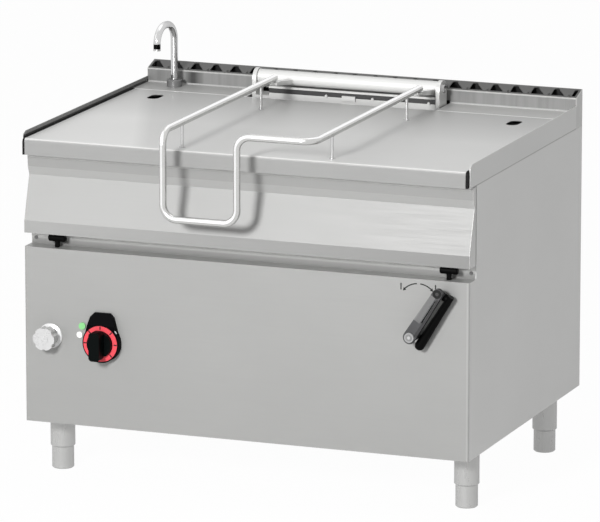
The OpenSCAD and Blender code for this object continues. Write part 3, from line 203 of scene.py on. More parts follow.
def mixColour(tree, factor, first, second, blend="MIX"):
    node = addNode(tree, "ShaderNodeMix", data_type="RGBA", blend_type=blend)
    if isinstance(factor, float):
        node.inputs["Factor"].default_value = factor
    else:
        tree.links.new(factor, node.inputs["Factor"])
    for index, value in zip(mixColourIn, (first, second)):
        if isinstance(value, tuple):
            node.inputs[index].default_value = (*value, 1.0)
        else:
            tree.links.new(value, node.inputs[index])
    return node.outputs[mixColourOut]


def shade(colour, factor):
    return tuple(min(1.0, channel * factor) for channel in colour)


def freshMaterial(name):
    material = bpy.data.materials.new(name)
    material.use_nodes = True
    shader = material.node_tree.nodes["Principled BSDF"]
    return material, material.node_tree, shader


wide = 1.0  # in metres; a piece ends before it on each side where its patch has no limit


# an area of another colour within one piece; a limit that isn't given lies past the piece
def boxPatch(paint, fromX=-wide, toX=wide, fromY=-wide, toY=wide, fromZ=-wide, toZ=wide, lean=0.0):
    middle = ((fromX + toX) / 2, (fromY + toY) / 2, (fromZ + toZ) / 2)
    half = ((toX - fromX) / 2, (toY - fromY) / 2, (toZ - fromZ) / 2)
    return boxMask, {"Middle": middle, "Half": half, "Turn": -lean}, paint


# a round area about a line along Y
def diskPatch(paint, middle, radius):
    return diskMask, {"Middle": middle, "Radius": radius}, paint


def paintPatches(tree, colour, patches):
    for group, places, paint in patches:
        mask = addNode(tree, "ShaderNodeGroup", node_tree=group)
        for label, value in places.items():
            mask.inputs[label].default_value = value
        colour = mixColour(tree, mask.outputs["Mask"], colour, paint)
    return colour


# how far a face turns towards a direction, from 0 at the first cosine to 1 at the second
def facingWay(tree, direction, fromCosine, toCosine):
    surface = addNode(tree, "ShaderNodeNewGeometry")
    along = addNode(tree, "ShaderNodeVectorMath", operation="DOT_PRODUCT")
    along.inputs[1].default_value = direction
    tree.links.new(surface.outputs["Normal"], along.inputs[0])
    return mapped(tree, along.outputs["Value"], 0.0, 1.0, (fromCosine, toCosine))


# a change of brightness along a direction: (direction, from, to, factor at from, factor at to)
def fadeAlong(tree, colour, fade):
    direction, start, end, startFactor, endFactor = fade
    place = addNode(tree, "ShaderNodeTexCoord")
    along = addNode(tree, "ShaderNodeVectorMath", operation="DOT_PRODUCT")
    along.inputs[1].default_value = direction
    tree.links.new(place.outputs["Object"], along.inputs[0])
    factor = mapped(tree, along.outputs["Value"], startFactor, endFactor, (start, end))
    return mixColour(tree, 1.0, colour, factor, "MULTIPLY")


alongX = (1.0, 0.0, 0.0)
alongY = (0.0, 1.0, 0.0)
alongZ = (0.0, 0.0, 1.0)
levelCosines = (0.35, 0.9)  # a face is level from the second cosine to straight up, and not below the first


# painted light: level faces take another brightness than upright ones, for the light that falls on them,
# with fades of their own
def paintLevelLight(tree, colour, factor, fades):
    brightness = addNode(tree, "ShaderNodeValue")
    brightness.outputs[0].default_value = factor
    level = mixColour(tree, 1.0, colour, brightness.outputs[0], "MULTIPLY")
    for fade in fades:
        level = fadeAlong(tree, level, fade)
    return mixColour(tree, facingWay(tree, alongZ, *levelCosines), colour, level)


gleamWhite = (0.97, 0.97, 0.97)

# what most metals share; a look names only what differs from it
# a gleam is a painted highlight: a direction, with the two cosines between which it comes up on a face; an
# edge is the colour of a painted reflection along a round part's sides
steelBasics = {
    "contrast": 1.0, "smudge": 3.0, "swing": 0.05, "dull": 0.35, "dullShade": 0.9, "fades": (),
    "levelFades": (), "gleams": (), "edgeBlend": 0.5, "patches": (), "metallic": 0.22,
    "roughSpread": (-0.05, 0.07), "bump": 0.12, "bumpDepth": 0.0002}


# sheet, tube or machined metal with a brushed grain
def makeSteel(name, ownLook):
    look = {**steelBasics, **ownLook}
    material, tree, shader = freshMaterial(name)
    colour = look["colour"]
    grain = addNode(tree, "ShaderNodeGroup", node_tree=brushGrain)
    grain.inputs["Stretch"].default_value = look["stretch"]
    grain.inputs["Contrast"].default_value = look["contrast"]
    grain.inputs["Smudge Size"].default_value = look["smudge"]
    darker, lighter = shade(colour, 1.0 - look["swing"]), shade(colour, 1.0 + look["swing"])
    fine = mixColour(tree, grain.outputs["Grain"], darker, lighter)
    smudges = mapped(tree, grain.outputs["Smudge"], 0.0, look["dull"])
    tone = mixColour(tree, smudges, fine, shade(colour, look["dullShade"]))
    for fade in look["fades"]:
        tone = fadeAlong(tree, tone, fade)
    if "level" in look:
        tone = paintLevelLight(tree, tone, look["level"], look["levelFades"])
    # painted highlights
    for gleam in look["gleams"]:
        tone = mixColour(tree, facingWay(tree, *gleam), tone, gleamWhite)
    if "edge" in look:
        # painted reflection: a round tube is painted darker along both its sides, where it shows the dark
        # room
        facing = addNode(tree, "ShaderNodeLayerWeight")
        facing.inputs["Blend"].default_value = look["edgeBlend"]
        rim = mapped(tree, facing.outputs["Facing"], 0.0, 1.0, look["edgeRange"])
        tone = mixColour(tree, rim, tone, look["edge"])
    tone = paintPatches(tree, tone, look["patches"])
    tree.links.new(tone, shader.inputs["Base Color"])
    shader.inputs["Metallic"].default_value = look["metallic"]
    addSurface(tree, shader, look, grain.outputs["Grain"], grain.outputs["Grain"])
    return material


# roughness that follows one mask, and a shallow relief that follows another
def addSurface(tree, shader, look, roughMask, reliefMask):
    lowest, highest = (look["rough"] + part for part in look["roughSpread"])
    tree.links.new(mapped(tree, roughMask, lowest, highest), shader.inputs["Roughness"])
    bump = addNode(tree, "ShaderNodeBump")
    bump.inputs["Strength"].default_value = look["bump"]
    bump.inputs["Distance"].default_value = look["bumpDepth"]
    tree.links.new(reliefMask, bump.inputs["Height"])
    tree.links.new(bump.outputs["Normal"], shader.inputs["Normal"])


# what most coatings share
coatBasics = {
    "size": 900.0, "patch": 22.0, "swing": 0.12, "wear": 0.3, "wornShade": 1.35, "patches": (),
    "metallic": 0.0, "specular": 0.3, "roughSpread": (-0.06, 0.08), "bump": 0.15, "bumpDepth": 0.0002}


# paint, plastic, rubber or dark scale with a fine speckle
def makeCoating(name, ownLook):
    look = {**coatBasics, **ownLook}
    material, tree, shader = freshMaterial(name)
    colour = look["colour"]
    speckle = addNode(tree, "ShaderNodeGroup", node_tree=fineSpeckle)
    speckle.inputs["Size"].default_value = look["size"]
    speckle.inputs["Patch Size"].default_value = look["patch"]
    darker, lighter = shade(colour, 1.0 - look["swing"]), shade(colour, 1.0 + look["swing"])
    fine = mixColour(tree, speckle.outputs["Speckle"], darker, lighter)
    rubbed = mapped(tree, speckle.outputs["Rubbed"], 0.0, look["wear"])
    tone = mixColour(tree, rubbed, fine, look.get("worn", shade(colour, look["wornShade"])))
    tone = paintPatches(tree, tone, look["patches"])
    tree.links.new(tone, shader.inputs["Base Color"])
    shader.inputs["Metallic"].default_value = look["metallic"]
    shader.inputs["Specular IOR Level"].default_value = look["specular"]
    addSurface(tree, shader, look, speckle.outputs["Rubbed"], speckle.outputs["Speckle"])
    return material


# where the tones of single pieces change, in metres, mostly measured from the ends of their boxes
panelLow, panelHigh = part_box("front_panel")
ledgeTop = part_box("pivot_posts")[0][2]
panelTone = {"recessDepths": (0.0035, 0.0045), "shadeRise": 0.013, "lightRise": 0.0225, "edgeWidth": 0.0075}
recessDepths = [panelLow[1] + depth for depth in panelTone["recessDepths"]]
recessShade = ledgeTop + panelTone["shadeRise"]
recessLight = ledgeTop + panelTone["lightRise"]
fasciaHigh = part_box("pan_fascia")[1]
fasciaTone = {"lowerFacet": 0.0542, "upperFacet": 0.0318, "underLid": 0.0072}
lidLow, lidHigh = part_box("lid_shell")
# the lid's top is painted lighter left of a slanted line near its front
lidTone = {"litLeftStart": -0.30, "litLeftSlope": 0.384, "litLeftWidth": 0.045, "depths": (0.35, 0.60, 0.87)}
lidLitLeftWay = (1.0, lidTone["litLeftSlope"], 0.0)
litLeftStart = lidTone["litLeftStart"] + lidTone["litLeftSlope"] * lidLow[1]
lidNear, lidMiddle, lidFar = (lidLow[1] + depth for depth in lidTone["depths"])
deckLow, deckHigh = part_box("rear_deck")
upstandLow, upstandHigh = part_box("rear_upstand")
upstandTone = {
    "tapReflectionPlace": 0.036, "tapReflectionLeft": (-0.020, -0.003), "tapReflectionRight": (0.005, 0.032), "innerX": 0.5975,
    "frontWall": 0.0025, "backWall": (0.004, 0.001), "seamDepth": 0.002, "footDepth": 0.003,
    "footRise": 0.0035,
    "frontTop": 0.9195, "backTop": 0.9345, "seamLow": 0.9185}  # these three are heights from the floor
# the tap's painted reflection lies a little to the right of the tap
tapReflectionMiddle = sum(corner[0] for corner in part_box("tap_base")) / 2 + upstandTone["tapReflectionPlace"]
tapReflectionLeft = [tapReflectionMiddle + side for side in upstandTone["tapReflectionLeft"]]
tapReflectionRight = [tapReflectionMiddle + side for side in upstandTone["tapReflectionRight"]]
leftCheekLow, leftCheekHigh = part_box("left_cheek")
leftCheekTone = {"shadeShare": 0.45}
leftCheekShadeTop = lidHigh[2] + leftCheekTone["shadeShare"] * (leftCheekHigh[2] - lidHigh[2])
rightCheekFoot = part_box("right_cheek")[0][2]
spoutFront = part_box("tap_spout")[0][1]
spoutTone = {"ringLow": 1.0015, "ringHigh": 1.0145, "ringDepth": 0.03}  # low and high are from the floor
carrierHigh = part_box("hinge_carrier")[1]
carrierTone = {"screenPlace": 0.056, "screenHalf": 0.0008, "screenRise": 0.008, "screenDrop": 0.005,
               "shelfDrop": 0.02}
screenY = carrierHigh[1] - carrierTone["screenPlace"]
seam = 0.0025  # width of the line along a seam
sheetEdge = 0.0012  # how far a sheet's edge or outer side reaches in

# colours of painted highlights along seams, painted tones for shaded sides, and black for black parts and
# for painted deep shade
seamHighlight = (0.80, 0.80, 0.79)
lidSeamHighlight = (0.66, 0.66, 0.65)
shadedSide = (0.62, 0.62, 0.61)
upstandSide = (0.54, 0.54, 0.53)
blackAndPaintedShade = (0.004, 0.004, 0.004)

# stretch: cycles per metre along X, Y and Z, so the small number is the way the grain runs
acrossFront = (6.0, 600.0, 600.0)
alongDepth = (600.0, 6.0, 600.0)
allWays = (60.0, 60.0, 60.0)

# the outer sheets are one brushed stainless; their colours differ by face to paint the light and shade each
# face takes
steelLooks = {
    "frontSteel": {
        # painted light: level faces such as the ledge are painted lighter
        "colour": (0.318, 0.318, 0.312), "rough": 0.42, "stretch": acrossFront, "level": 1.9,
        # painted shade in the recess behind the face, dark at its foot, and painted light near its top, over
        # the fascia's shadow
        "fades": [
            (alongY, *recessDepths, 1.0, 0.61), (alongZ, ledgeTop, recessShade, 1.0, 1.35),
            (alongZ, recessShade, recessLight, 1.0, 2.6)],
        "patches": [
            # a painted highlight down the rounded right-hand bend, and the side beyond it in the painted
            # tone of a shaded side
            boxPatch((0.366, 0.366, 0.36), fromX=panelHigh[0] - panelTone["edgeWidth"],
                     toY=panelLow[1] + sheetEdge),
            boxPatch(shadedSide, fromX=panelHigh[0] - sheetEdge / 2)]},
    "sideSteel": {"colour": (0.68, 0.68, 0.67), "rough": 0.42, "stretch": alongDepth},
    "fasciaSteel": {
        "colour": (0.315, 0.315, 0.31), "rough": 0.45, "stretch": acrossFront,
        # painted shade, darker towards the right, against the lamp's sheen there
        "fades": [(alongX, lidLow[0], lidHigh[0], 1.0, 0.75)],
        "patches": [
            # painted tones for the light each part takes: the lip's lower and upper facets, a lighter strip
            # painted over the lid's shadow at the top, and the side in the tone of a shaded side
            boxPatch((0.36, 0.36, 0.354), fromZ=fasciaHigh[2] - fasciaTone["lowerFacet"]),
            boxPatch((0.28, 0.28, 0.275), fromZ=fasciaHigh[2] - fasciaTone["upperFacet"]),
            boxPatch((0.47, 0.47, 0.462), fromZ=fasciaHigh[2] - fasciaTone["underLid"]),
            boxPatch(shadedSide, fromX=fasciaHigh[0] - sheetEdge / 2)]},
    "lidSteel": {
        # painted light and shade: the top lighter than the front, the front lighter towards the left, the
        # top lighter still left of a slanted line near its front and darker towards the back
        "colour": (0.286, 0.286, 0.282), "rough": 0.4, "stretch": acrossFront, "level": 2.31,
        "fades": [(alongX, lidLow[0], lidHigh[0], 1.035, 0.965)],
        "levelFades": [
            (lidLitLeftWay, litLeftStart, litLeftStart + lidTone["litLeftWidth"], 1.20, 1.0),
            (alongX, lidLow[0], lidHigh[0], 0.96, 1.06),
            (alongY, lidNear, lidMiddle, 1.0, 0.76), (alongY, lidMiddle, lidFar, 1.0, 0.80)],
        # painted highlights along the rear and the front top edges
        "patches": [
            boxPatch(seamHighlight, fromY=lidHigh[1] - seam, fromZ=lidHigh[2] - seam),
            boxPatch(lidSeamHighlight, toY=lidLow[1] + seam, fromZ=lidHigh[2] - seam)]},
    "deckSteel": {
        "colour": (0.50, 0.50, 0.49), "rough": 0.4, "stretch": acrossFront,
        # painted shade, darker towards the left
        "fades": [(alongX, deckLow[0], deckHigh[0], 0.84, 1.02)],
        # painted highlights along the front edge and along the foot of the upstand
        "patches": [
            boxPatch(seamHighlight, fromY=deckLow[1] - seam, toY=deckLow[1] + seam),
            boxPatch(seamHighlight, fromY=deckHigh[1] - seam)]},
    "upstandSteel": {
        "colour": (0.25, 0.25, 0.247), "rough": 0.38, "stretch": (60.0, 60.0, 2.0), "swing": 0.3,
        # painted shade, darker towards both ends, and a painted reflection: the dark blotch is the tap,
        # blurred in the brushed sheet
        "fades": [
            (alongX, upstandLow[0], tapReflectionMiddle, 0.80, 0.95),
            (alongX, tapReflectionMiddle, upstandHigh[0], 1.0, 0.92),
            (alongX, *tapReflectionLeft, 1.0, 0.22), (alongX, *tapReflectionRight, 1.0, 4.55)],
        # painted shade in black inside the flue, painted highlights along the hems at the top and the foot,
        # and lighter ends and back, painted for the light each face takes
        "patches": [
            boxPatch(blackAndPaintedShade, fromX=-upstandTone["innerX"], toX=upstandTone["innerX"],
                     fromY=upstandLow[1] + upstandTone["frontWall"], toY=upstandHigh[1] - sheetEdge,
                     toZ=upstandTone["frontTop"]),
            boxPatch(blackAndPaintedShade, fromX=-upstandTone["innerX"], toX=upstandTone["innerX"],
                     fromY=upstandHigh[1] - upstandTone["backWall"][0],
                     toY=upstandHigh[1] - upstandTone["backWall"][1], toZ=upstandTone["backTop"]),
            boxPatch((0.46, 0.46, 0.45), toY=upstandLow[1] + upstandTone["seamDepth"],
                     fromZ=upstandTone["seamLow"]),
            boxPatch((0.40, 0.40, 0.395), toY=upstandLow[1] + upstandTone["footDepth"],
                     toZ=deckHigh[2] + upstandTone["footRise"]),
            boxPatch(upstandSide, fromX=upstandHigh[0] - sheetEdge),
            boxPatch(upstandSide, toX=upstandLow[0] + sheetEdge),
            boxPatch(upstandSide, fromY=upstandHigh[1] - sheetEdge / 2)]},
    "leftCheekSteel": {
        "colour": (0.62, 0.62, 0.61), "rough": 0.42, "stretch": alongDepth,
        # painted shade on the side towards the lid: dark grey, and black in its lower part
        "patches": [
            boxPatch((0.20, 0.20, 0.197), fromX=leftCheekLow[0] + sheetEdge / 2),
            boxPatch(blackAndPaintedShade, fromX=leftCheekLow[0] + sheetEdge / 2, toZ=leftCheekShadeTop)]},
    "cheekSteel": {
        "colour": (0.64, 0.64, 0.63), "rough": 0.42, "stretch": alongDepth,
        "patches": [boxPatch((0.42, 0.42, 0.413), toZ=rightCheekFoot + seam)]},
    "flueSteel": {"colour": (0.098, 0.098, 0.096), "rough": 0.45, "stretch": acrossFront},
    # the round parts below that have a gleam or an edge take painted highlights and painted dark sides
    "legSteel": {
        "colour": (0.475, 0.475, 0.468), "rough": 0.3, "stretch": (60.0, 60.0, 8.0), "metallic": 0.6,
        "edge": (0.30, 0.30, 0.30), "edgeRange": (0.45, 1.0)},
    "handleSteel": {
        "colour": (0.60, 0.60, 0.59), "rough": 0.2, "stretch": allWays, "bump": 0.03, "metallic": 0.95,
        "gleams": [((-0.14, -0.90, 0.41), 0.86, 0.91), ((0.42, 0.0, 0.907), 0.88, 0.96)],
        "edge": (0.12, 0.12, 0.12), "edgeRange": (0.80, 0.97)},
    "hingeSteel": {
        "colour": (0.74, 0.74, 0.73), "rough": 0.45, "stretch": acrossFront, "metallic": 0.1,
        "edge": (0.36, 0.36, 0.355), "edgeRange": (0.62, 1.0)},
    "bracketSteel": {"colour": (0.70, 0.70, 0.69), "rough": 0.35, "stretch": acrossFront, "metallic": 0.6},
    "pinSteel": {
        "colour": (0.7, 0.7, 0.7), "rough": 0.2, "stretch": allWays, "bump": 0.03, "metallic": 0.9,
        "edge": (0.25, 0.25, 0.25), "edgeRange": (0.4, 0.95)},
    "screwSteel": {"colour": (0.12, 0.12, 0.12), "rough": 0.3, "stretch": allWays},
    "innerSteel": {"colour": (0.36, 0.36, 0.36), "rough": 0.5, "stretch": alongDepth},
    "panSteel": {"colour": (0.5, 0.5, 0.49), "rough": 0.36, "stretch": acrossFront, "metallic": 0.8},
    "driveSteel": {
        "colour": (0.3, 0.3, 0.31), "rough": 0.35, "stretch": (400.0, 400.0, 400.0), "metallic": 0.9},
    "bearingSteel": {
        "colour": (0.48, 0.48, 0.48), "rough": 0.3, "stretch": (500.0, 20.0, 500.0), "metallic": 0.9},
    "tapChrome": {
        "colour": (0.64, 0.64, 0.64), "rough": 0.12, "stretch": (30.0, 30.0, 30.0), "bump": 0.0,
        "metallic": 0.95, "gleams": [((-0.2, -0.35, 0.915), 0.80, 0.98)],
        "edge": (0.16, 0.16, 0.165), "edgeRange": (0.45, 0.95),
        # the black ring near the spout's tip
        "patches": [
            boxPatch(blackAndPaintedShade, fromY=spoutFront - seam, toY=spoutFront + spoutTone["ringDepth"],
                     fromZ=spoutTone["ringLow"], toZ=spoutTone["ringHigh"])]},
    "tapBaseSteel": {
        "colour": (0.175, 0.175, 0.175), "rough": 0.35, "stretch": (50.0, 50.0, 50.0),
        "edge": (0.07, 0.07, 0.07), "edgeRange": (0.35, 0.9)},
    "valveChrome": {
        "colour": (0.545, 0.545, 0.545), "rough": 0.28, "stretch": allWays, "bump": 0.02, "swing": 0.12},
    "rosetteChrome": {"colour": (0.70, 0.70, 0.70), "rough": 0.28, "stretch": allWays, "bump": 0.02},
    "copper": {"colour": (0.62, 0.32, 0.18), "rough": 0.35, "stretch": (50.0, 50.0, 50.0), "metallic": 0.95},
    "brass": {"colour": (0.62, 0.45, 0.18), "rough": 0.3, "stretch": (80.0, 80.0, 80.0), "metallic": 0.95},
    # painted shade: the carrier's upright screen is painted dark between the tube above it and the lid in
    # front of it, and its part below the deck too
    "carrierSteel": {
        "colour": (0.62, 0.62, 0.61), "rough": 0.35, "stretch": acrossFront,
        "patches": [
            boxPatch((0.04, 0.04, 0.04), fromY=screenY - carrierTone["screenHalf"],
                     toY=screenY + carrierTone["screenHalf"], fromZ=deckHigh[2] + carrierTone["screenRise"],
                     toZ=carrierHigh[2] - carrierTone["screenDrop"]),
            boxPatch((0.05, 0.05, 0.05), toZ=deckHigh[2] - carrierTone["shelfDrop"])]},
}

# the crank's arm leans to the right from its hub; its patches are measured across it and along it from there
armHub = (0.460, 0.0, 0.465)
armLength = 0.136
armLean = math.radians(32.0)
armTip = (armHub[0] + armLength * math.sin(armLean), 0.0, armHub[2] + armLength * math.cos(armLean))
armTone = {
    "paintedLightAcross": (-0.030, 0.002), "paintedHighlightAcross": (-0.030, -0.012), "paintedLightAlong": (0.046, 0.125),
    "grooveShadeAcross": (0.007, 0.030), "grooveShadeAlong": (0.010, 0.125), "pivotRing": 0.0115,
    "pivotMiddle": 0.0045, "capRing": 0.009, "capHighlight": 0.004}


def armPatch(paint, across, along):
    middleX = armHub[0] + sum(across) / 2 * math.cos(armLean) + sum(along) / 2 * math.sin(armLean)
    middleZ = armHub[2] - sum(across) / 2 * math.sin(armLean) + sum(along) / 2 * math.cos(armLean)
    halfX = (across[1] - across[0]) / 2
    halfZ = (along[1] - along[0]) / 2
    return boxPatch(paint, fromX=middleX - halfX, toX=middleX + halfX, fromZ=middleZ - halfZ,
                    toZ=middleZ + halfZ, lean=armLean)


coatLooks = {
    "framePaint": {"colour": (0.10, 0.105, 0.11), "rough": 0.55},
    "hingeBlack": {"colour": (0.002, 0.002, 0.002), "rough": 0.5, "specular": 0.04},
    "bezelBlack": {"colour": (0.002, 0.002, 0.0025), "rough": 0.45, "specular": 0.02},
    "knobBlack": {"colour": (0.002, 0.003, 0.003), "rough": 0.35, "specular": 0.04},
    "gripBlack": {"colour": (0.002, 0.002, 0.002), "rough": 0.35, "specular": 0.04},
    "sealBlack": {"colour": (0.008, 0.008, 0.008), "rough": 0.62, "specular": 0.12},
    "dialRed": {"colour": (0.71, 0.064, 0.085), "rough": 0.5, "wear": 0.12, "swing": 0.05},
    "armGrey": {
        "colour": (0.062, 0.062, 0.064), "rough": 0.38, "specular": 0.25,
        # painted light on the arm's upper part, brighter along its left side, painted shade in its groove,
        # and the black pivot at its tip
        "patches": [
            armPatch((0.15, 0.15, 0.15), armTone["paintedLightAcross"], armTone["paintedLightAlong"]),
            armPatch((0.19, 0.19, 0.19), armTone["paintedHighlightAcross"], armTone["paintedLightAlong"]),
            armPatch((0.035, 0.035, 0.036), armTone["grooveShadeAcross"], armTone["grooveShadeAlong"]),
            diskPatch(blackAndPaintedShade, armTip, armTone["pivotRing"]),
            diskPatch((0.05, 0.05, 0.05), armTip, armTone["pivotMiddle"])]},
    "capWhite": {
        "colour": (0.30, 0.30, 0.30), "rough": 0.4, "swing": 0.03, "wear": 0.08,
        # a grey ring, and a painted highlight in the middle
        "patches": [
            diskPatch((0.22, 0.22, 0.22), armHub, armTone["capRing"]),
            diskPatch((0.42, 0.42, 0.42), armHub, armTone["capHighlight"])]},
    "greenLens": {"colour": (0.235, 0.60, 0.235), "rough": 0.16, "swing": 0.04, "wear": 0.1},
    "whiteLens": {"colour": (0.88, 0.87, 0.86), "rough": 0.18, "swing": 0.02, "wear": 0.05},
    "boxGrey": {"colour": (0.22, 0.23, 0.24), "rough": 0.5},
    "padRubber": {"colour": (0.012, 0.012, 0.012), "rough": 0.7},
    "gearboxPaint": {"colour": (0.05, 0.07, 0.10), "rough": 0.45, "size": 260.0, "bump": 0.5},
    "elementDark": {"colour": (0.06, 0.045, 0.04), "rough": 0.6, "worn": (0.12, 0.07, 0.04)},
    "boardCream": {"colour": (0.52, 0.46, 0.34), "rough": 0.9, "size": 300.0, "bump": 0.6, "wear": 0.15},
    "printBlack": {"colour": (0.02, 0.02, 0.02), "rough": 0.6, "specular": 0.1},
    "printWhite": {"colour": (0.55, 0.55, 0.55), "rough": 0.5},
}
looks = {name: makeSteel(name, look) for name, look in steelLooks.items()}
looks.update({name: makeCoating(name, look) for name, look in coatLooks.items()})

finishOf = {
    "base_frame": "framePaint", "corner_posts": "framePaint", "frame_rails": "framePaint",
    "gearbox_stand": "framePaint", "bottom_plate": "innerSteel", "leg_tubes": "legSteel",
    "adjustable_feet": "legSteel",
    "front_panel": "frontSteel", "panel_screws": "screwSteel", "left_side_panel": "sideSteel",
    "right_side_panel": "sideSteel", "back_panel": "sideSteel", "left_cheek": "leftCheekSteel",
    "right_cheek": "cheekSteel",
    "rear_deck": "deckSteel", "rear_upstand": "upstandSteel", "flue_grille": "flueSteel",
    "pivot_posts": "hingeBlack", "pivot_forks": "hingeBlack", "pivot_pins": "hingeBlack",
    "crank_bearing": "bearingSteel", "angle_gearbox": "gearboxPaint", "tilt_sector": "driveSteel",
    "tilt_worm": "driveSteel", "thermostat_body": "boxGrey", "terminal_box": "boxGrey",
    "thermostat_bezel": "bezelBlack", "dial_ring": "dialRed", "thermostat_knob": "knobBlack",
    "pilot_lamp_green": "greenLens", "pilot_lamp_white": "whiteLens",
    "water_valve": "brass", "water_inlet": "brass", "water_pipe": "copper",
    "valve_rosette": "rosetteChrome", "valve_knob": "valveChrome", "tap_base": "tapBaseSteel",
    "tap_spout": "tapChrome", "cable_gland": "padRubber", "rest_pads": "padRubber",
    "pan_basin": "panSteel", "pan_casing": "innerSteel", "pan_beams": "innerSteel",
    "pan_fascia": "fasciaSteel",
    "heating_elements": "elementDark", "insulation_board": "boardCream",
    "hinge_carrier": "carrierSteel", "hinge_brackets": "bracketSteel", "hinge_shaft": "pinSteel",
    "hinge_tube": "hingeSteel", "hinge_links": "bracketSteel",
    "lid_shell": "lidSteel", "lid_liner": "panSteel", "lid_seals": "sealBlack",
    "lid_handle": "handleSteel", "handle_posts": "pinSteel",
    "crank_shaft": "bearingSteel", "crank_arm": "armGrey", "crank_cap": "capWhite",
    "crank_grip": "gripBlack",
}
for nodeName, nodeObject in nodes.items():
    meshData = nodeObject.data
    meshData.materials.clear()
    meshData.materials.append(looks[finishOf[nodeName]])
print("finishes set on", len(nodes), "nodes")


# flat printed shapes on an upright face: closed outlines of (x, z), raised a little from the face
def makePrint(name, outlines, faceY, thickness, finish, body):
    shape = bmesh.new()
    for outline in outlines:
        back = [shape.verts.new((x, faceY, z)) for x, z in outline]
        front = [shape.verts.new((x, faceY - thickness, z)) for x, z in outline]
        shape.faces.new(front)
        shape.faces.new(list(reversed(back)))
        for i in range(len(outline)):
            j = (i + 1) % len(outline)
            shape.faces.new((back[i], back[j], front[j], front[i]))
    bmesh.ops.recalc_face_normals(shape, faces=shape.faces)
    mesh = bpy.data.meshes.new(name)
    shape.to_mesh(mesh)
    shape.free()
    piece = bpy.data.objects.new(name, mesh)
    bpy.context.scene.collection.objects.link(piece)
    mesh.materials.append(looks[finish])
    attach(piece, body)


# angles are in degrees, clockwise from straight up
def onCircle(middle, radius, degrees):
    angle = math.radians(degrees)
    return middle[0] + radius * math.sin(angle), middle[1] + radius * math.cos(angle)


# the band between two radii about a middle, from one angle to another
def arcBand(middle, inner, outer, start, end, steps=10):
    angles = [start + (end - start) * i / steps for i in range(steps + 1)]
    rim = [onCircle(middle, outer, angle) for angle in angles]
    return rim + [onCircle(middle, inner, angle) for angle in reversed(angles)]


printDepth = 0.0002

# dial: black ticks on the red ring, and the white mark on the bezel beside it
ringLow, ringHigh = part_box("dial_ring")
ringMiddle = ((ringLow[0] + ringHigh[0]) / 2, (ringLow[2] + ringHigh[2]) / 2)
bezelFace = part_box("thermostat_bezel")[0][1]
dialTick = {"start": -90.0, "count": 6, "apart": 45.0, "width": 4.4, "inner": 0.037, "outer": 0.0455,
            "steps": 2}
dialPointer = {"start": 52.0, "width": 8.0, "inner": 0.0522, "outer": 0.0546, "steps": 4}


def dialMark(mark, angle):
    half = mark["width"] / 2
    return arcBand(ringMiddle, mark["inner"], mark["outer"], angle - half, angle + half, mark["steps"])


tickAngles = [dialTick["start"] + tick * dialTick["apart"] for tick in range(dialTick["count"])]
makePrint("dialTicks", [dialMark(dialTick, angle) for angle in tickAngles], ringLow[1], printDepth,
          "printBlack", "cabinet")
makePrint("dialPointer", [dialMark(dialPointer, dialPointer["start"])], bezelFace, printDepth, "printWhite",
          "cabinet")

# front panel: the curved double arrow above the crank, with a small upright arrow at each end
crankArrow = {
    "middle": (0.4657, 0.5404), "radius": 0.0514, "width": 0.0030, "spans": [(-44.0, -5.0), (5.0, 40.0)],
    "headLength": 9.0, "headWidth": 0.0095, "marks": [(0.4195, 0.5735, 0.5915), (0.5104, 0.5798, 0.5930)],
    "markWidth": 0.0028, "crossWidth": 0.0085}


# a head at one end of the curve; way is 1.0 for clockwise and -1.0 for the other way
def curvedHead(angle, way):
    middle, radius = crankArrow["middle"], crankArrow["radius"]
    half = crankArrow["headWidth"] / 2
    return [onCircle(middle, radius + half, angle),
            onCircle(middle, radius, angle + way * crankArrow["headLength"]),
            onCircle(middle, radius - half, angle)]


def uprightArrow(middleX, low, high):
    half = crankArrow["markWidth"] / 2
    wing = crankArrow["crossWidth"] / 2
    neck = high - 2 * half
    return [(middleX - half, low), (middleX + half, low), (middleX + half, neck),
            (middleX + wing, neck - wing), (middleX, high), (middleX - wing, neck - wing),
            (middleX - half, neck)]


arrow = []
for start, end in crankArrow["spans"]:
    arrow.append(arcBand(crankArrow["middle"], crankArrow["radius"] - crankArrow["width"] / 2,
                         crankArrow["radius"] + crankArrow["width"] / 2, start, end))
arrow.append(curvedHead(crankArrow["spans"][0][0], -1.0))
arrow.append(curvedHead(crankArrow["spans"][1][1], 1.0))
arrow += [uprightArrow(*mark) for mark in crankArrow["marks"]]
makePrint("crankArrow", arrow, panelLow[1], printDepth, "printBlack", "cabinet")
print("printed marks made")

# studio: pale floor, even world light and three soft lamps, each with its place, aim, width and power
studio = {"floorSize": 60.0, "floorColour": (0.86, 0.86, 0.86), "floorWhite": 0.975, "worldStrength": 0.32,
          "lamps": [
              ("keyLamp", (-0.35, -6.4, 2.9), (0.0, -0.1, 0.6), 1.1, 420.0),
              ("fillLamp", (-5.2, -2.0, 3.4), (0.0, -0.1, 0.6), 3.0, 15.0),
              ("topLamp", (0.0, 0.6, 5.2), (0.0, 0.1, 0.8), 3.4, 20.0)]}


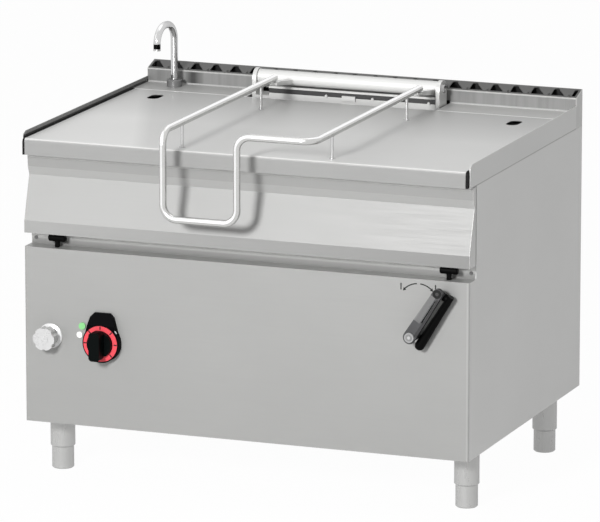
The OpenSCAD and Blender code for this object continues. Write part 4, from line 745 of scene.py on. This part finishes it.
# 1 for rays that show the background, straight or in a mirror or through glass, and 0 for all others
def addShownMask(tree):
    path = addNode(tree, "ShaderNodeLightPath")
    shown = addMath(tree, "MAXIMUM", path.outputs["Is Camera Ray"], path.outputs["Is Glossy Ray"])
    return addMath(tree, "MAXIMUM", shown, path.outputs["Is Transmission Ray"])


def makeFloor():
    half = studio["floorSize"] / 2
    corners = [(-half, -half, 0), (half, -half, 0), (half, half, 0), (-half, half, 0)]
    mesh = bpy.data.meshes.new("studioFloor")
    mesh.from_pydata(corners, [], [(0, 1, 2, 3)])
    floor = bpy.data.objects.new("studioFloor", mesh)
    bpy.context.scene.collection.objects.link(floor)
    material, tree, shader = freshMaterial("studioFloor")
    shader.inputs["Base Color"].default_value = (*studio["floorColour"], 1.0)
    shader.inputs["Roughness"].default_value = 1.0
    shader.inputs["Specular IOR Level"].default_value = 0.0
    glow = addNode(tree, "ShaderNodeEmission")
    blend = addNode(tree, "ShaderNodeMixShader")
    share = addMath(tree, "MULTIPLY", addShownMask(tree), studio["floorWhite"])
    tree.links.new(share, blend.inputs["Fac"])
    tree.links.new(shader.outputs[0], blend.inputs[1])
    tree.links.new(glow.outputs[0], blend.inputs[2])
    tree.links.new(blend.outputs[0], tree.nodes["Material Output"].inputs["Surface"])
    mesh.materials.append(material)


def makeWorld():
    world = bpy.data.worlds.new("studioWorld")
    bpy.context.scene.world = world
    world.use_nodes = True
    tree = world.node_tree
    back = tree.nodes["Background"]
    back.inputs["Color"].default_value = (1.0, 1.0, 1.0, 1.0)
    strength = addNode(tree, "ShaderNodeMapRange")
    strength.inputs["To Min"].default_value = studio["worldStrength"]
    strength.inputs["To Max"].default_value = 1.0
    tree.links.new(addShownMask(tree), strength.inputs["Value"])
    tree.links.new(strength.outputs["Result"], back.inputs["Strength"])


def makeLamps():
    for name, place, aim, size, power in studio["lamps"]:
        lampData = bpy.data.lights.new(name, "AREA")
        lampData.shape = "DISK"
        lampData.size = size
        lampData.energy = power
        lamp = bpy.data.objects.new(name, lampData)
        lamp.location = place
        lamp.rotation_euler = (Vector(aim) - Vector(place)).to_track_quat("-Z", "Y").to_euler()
        bpy.context.scene.collection.objects.link(lamp)


makeFloor()
makeWorld()
makeLamps()
print("studio set")
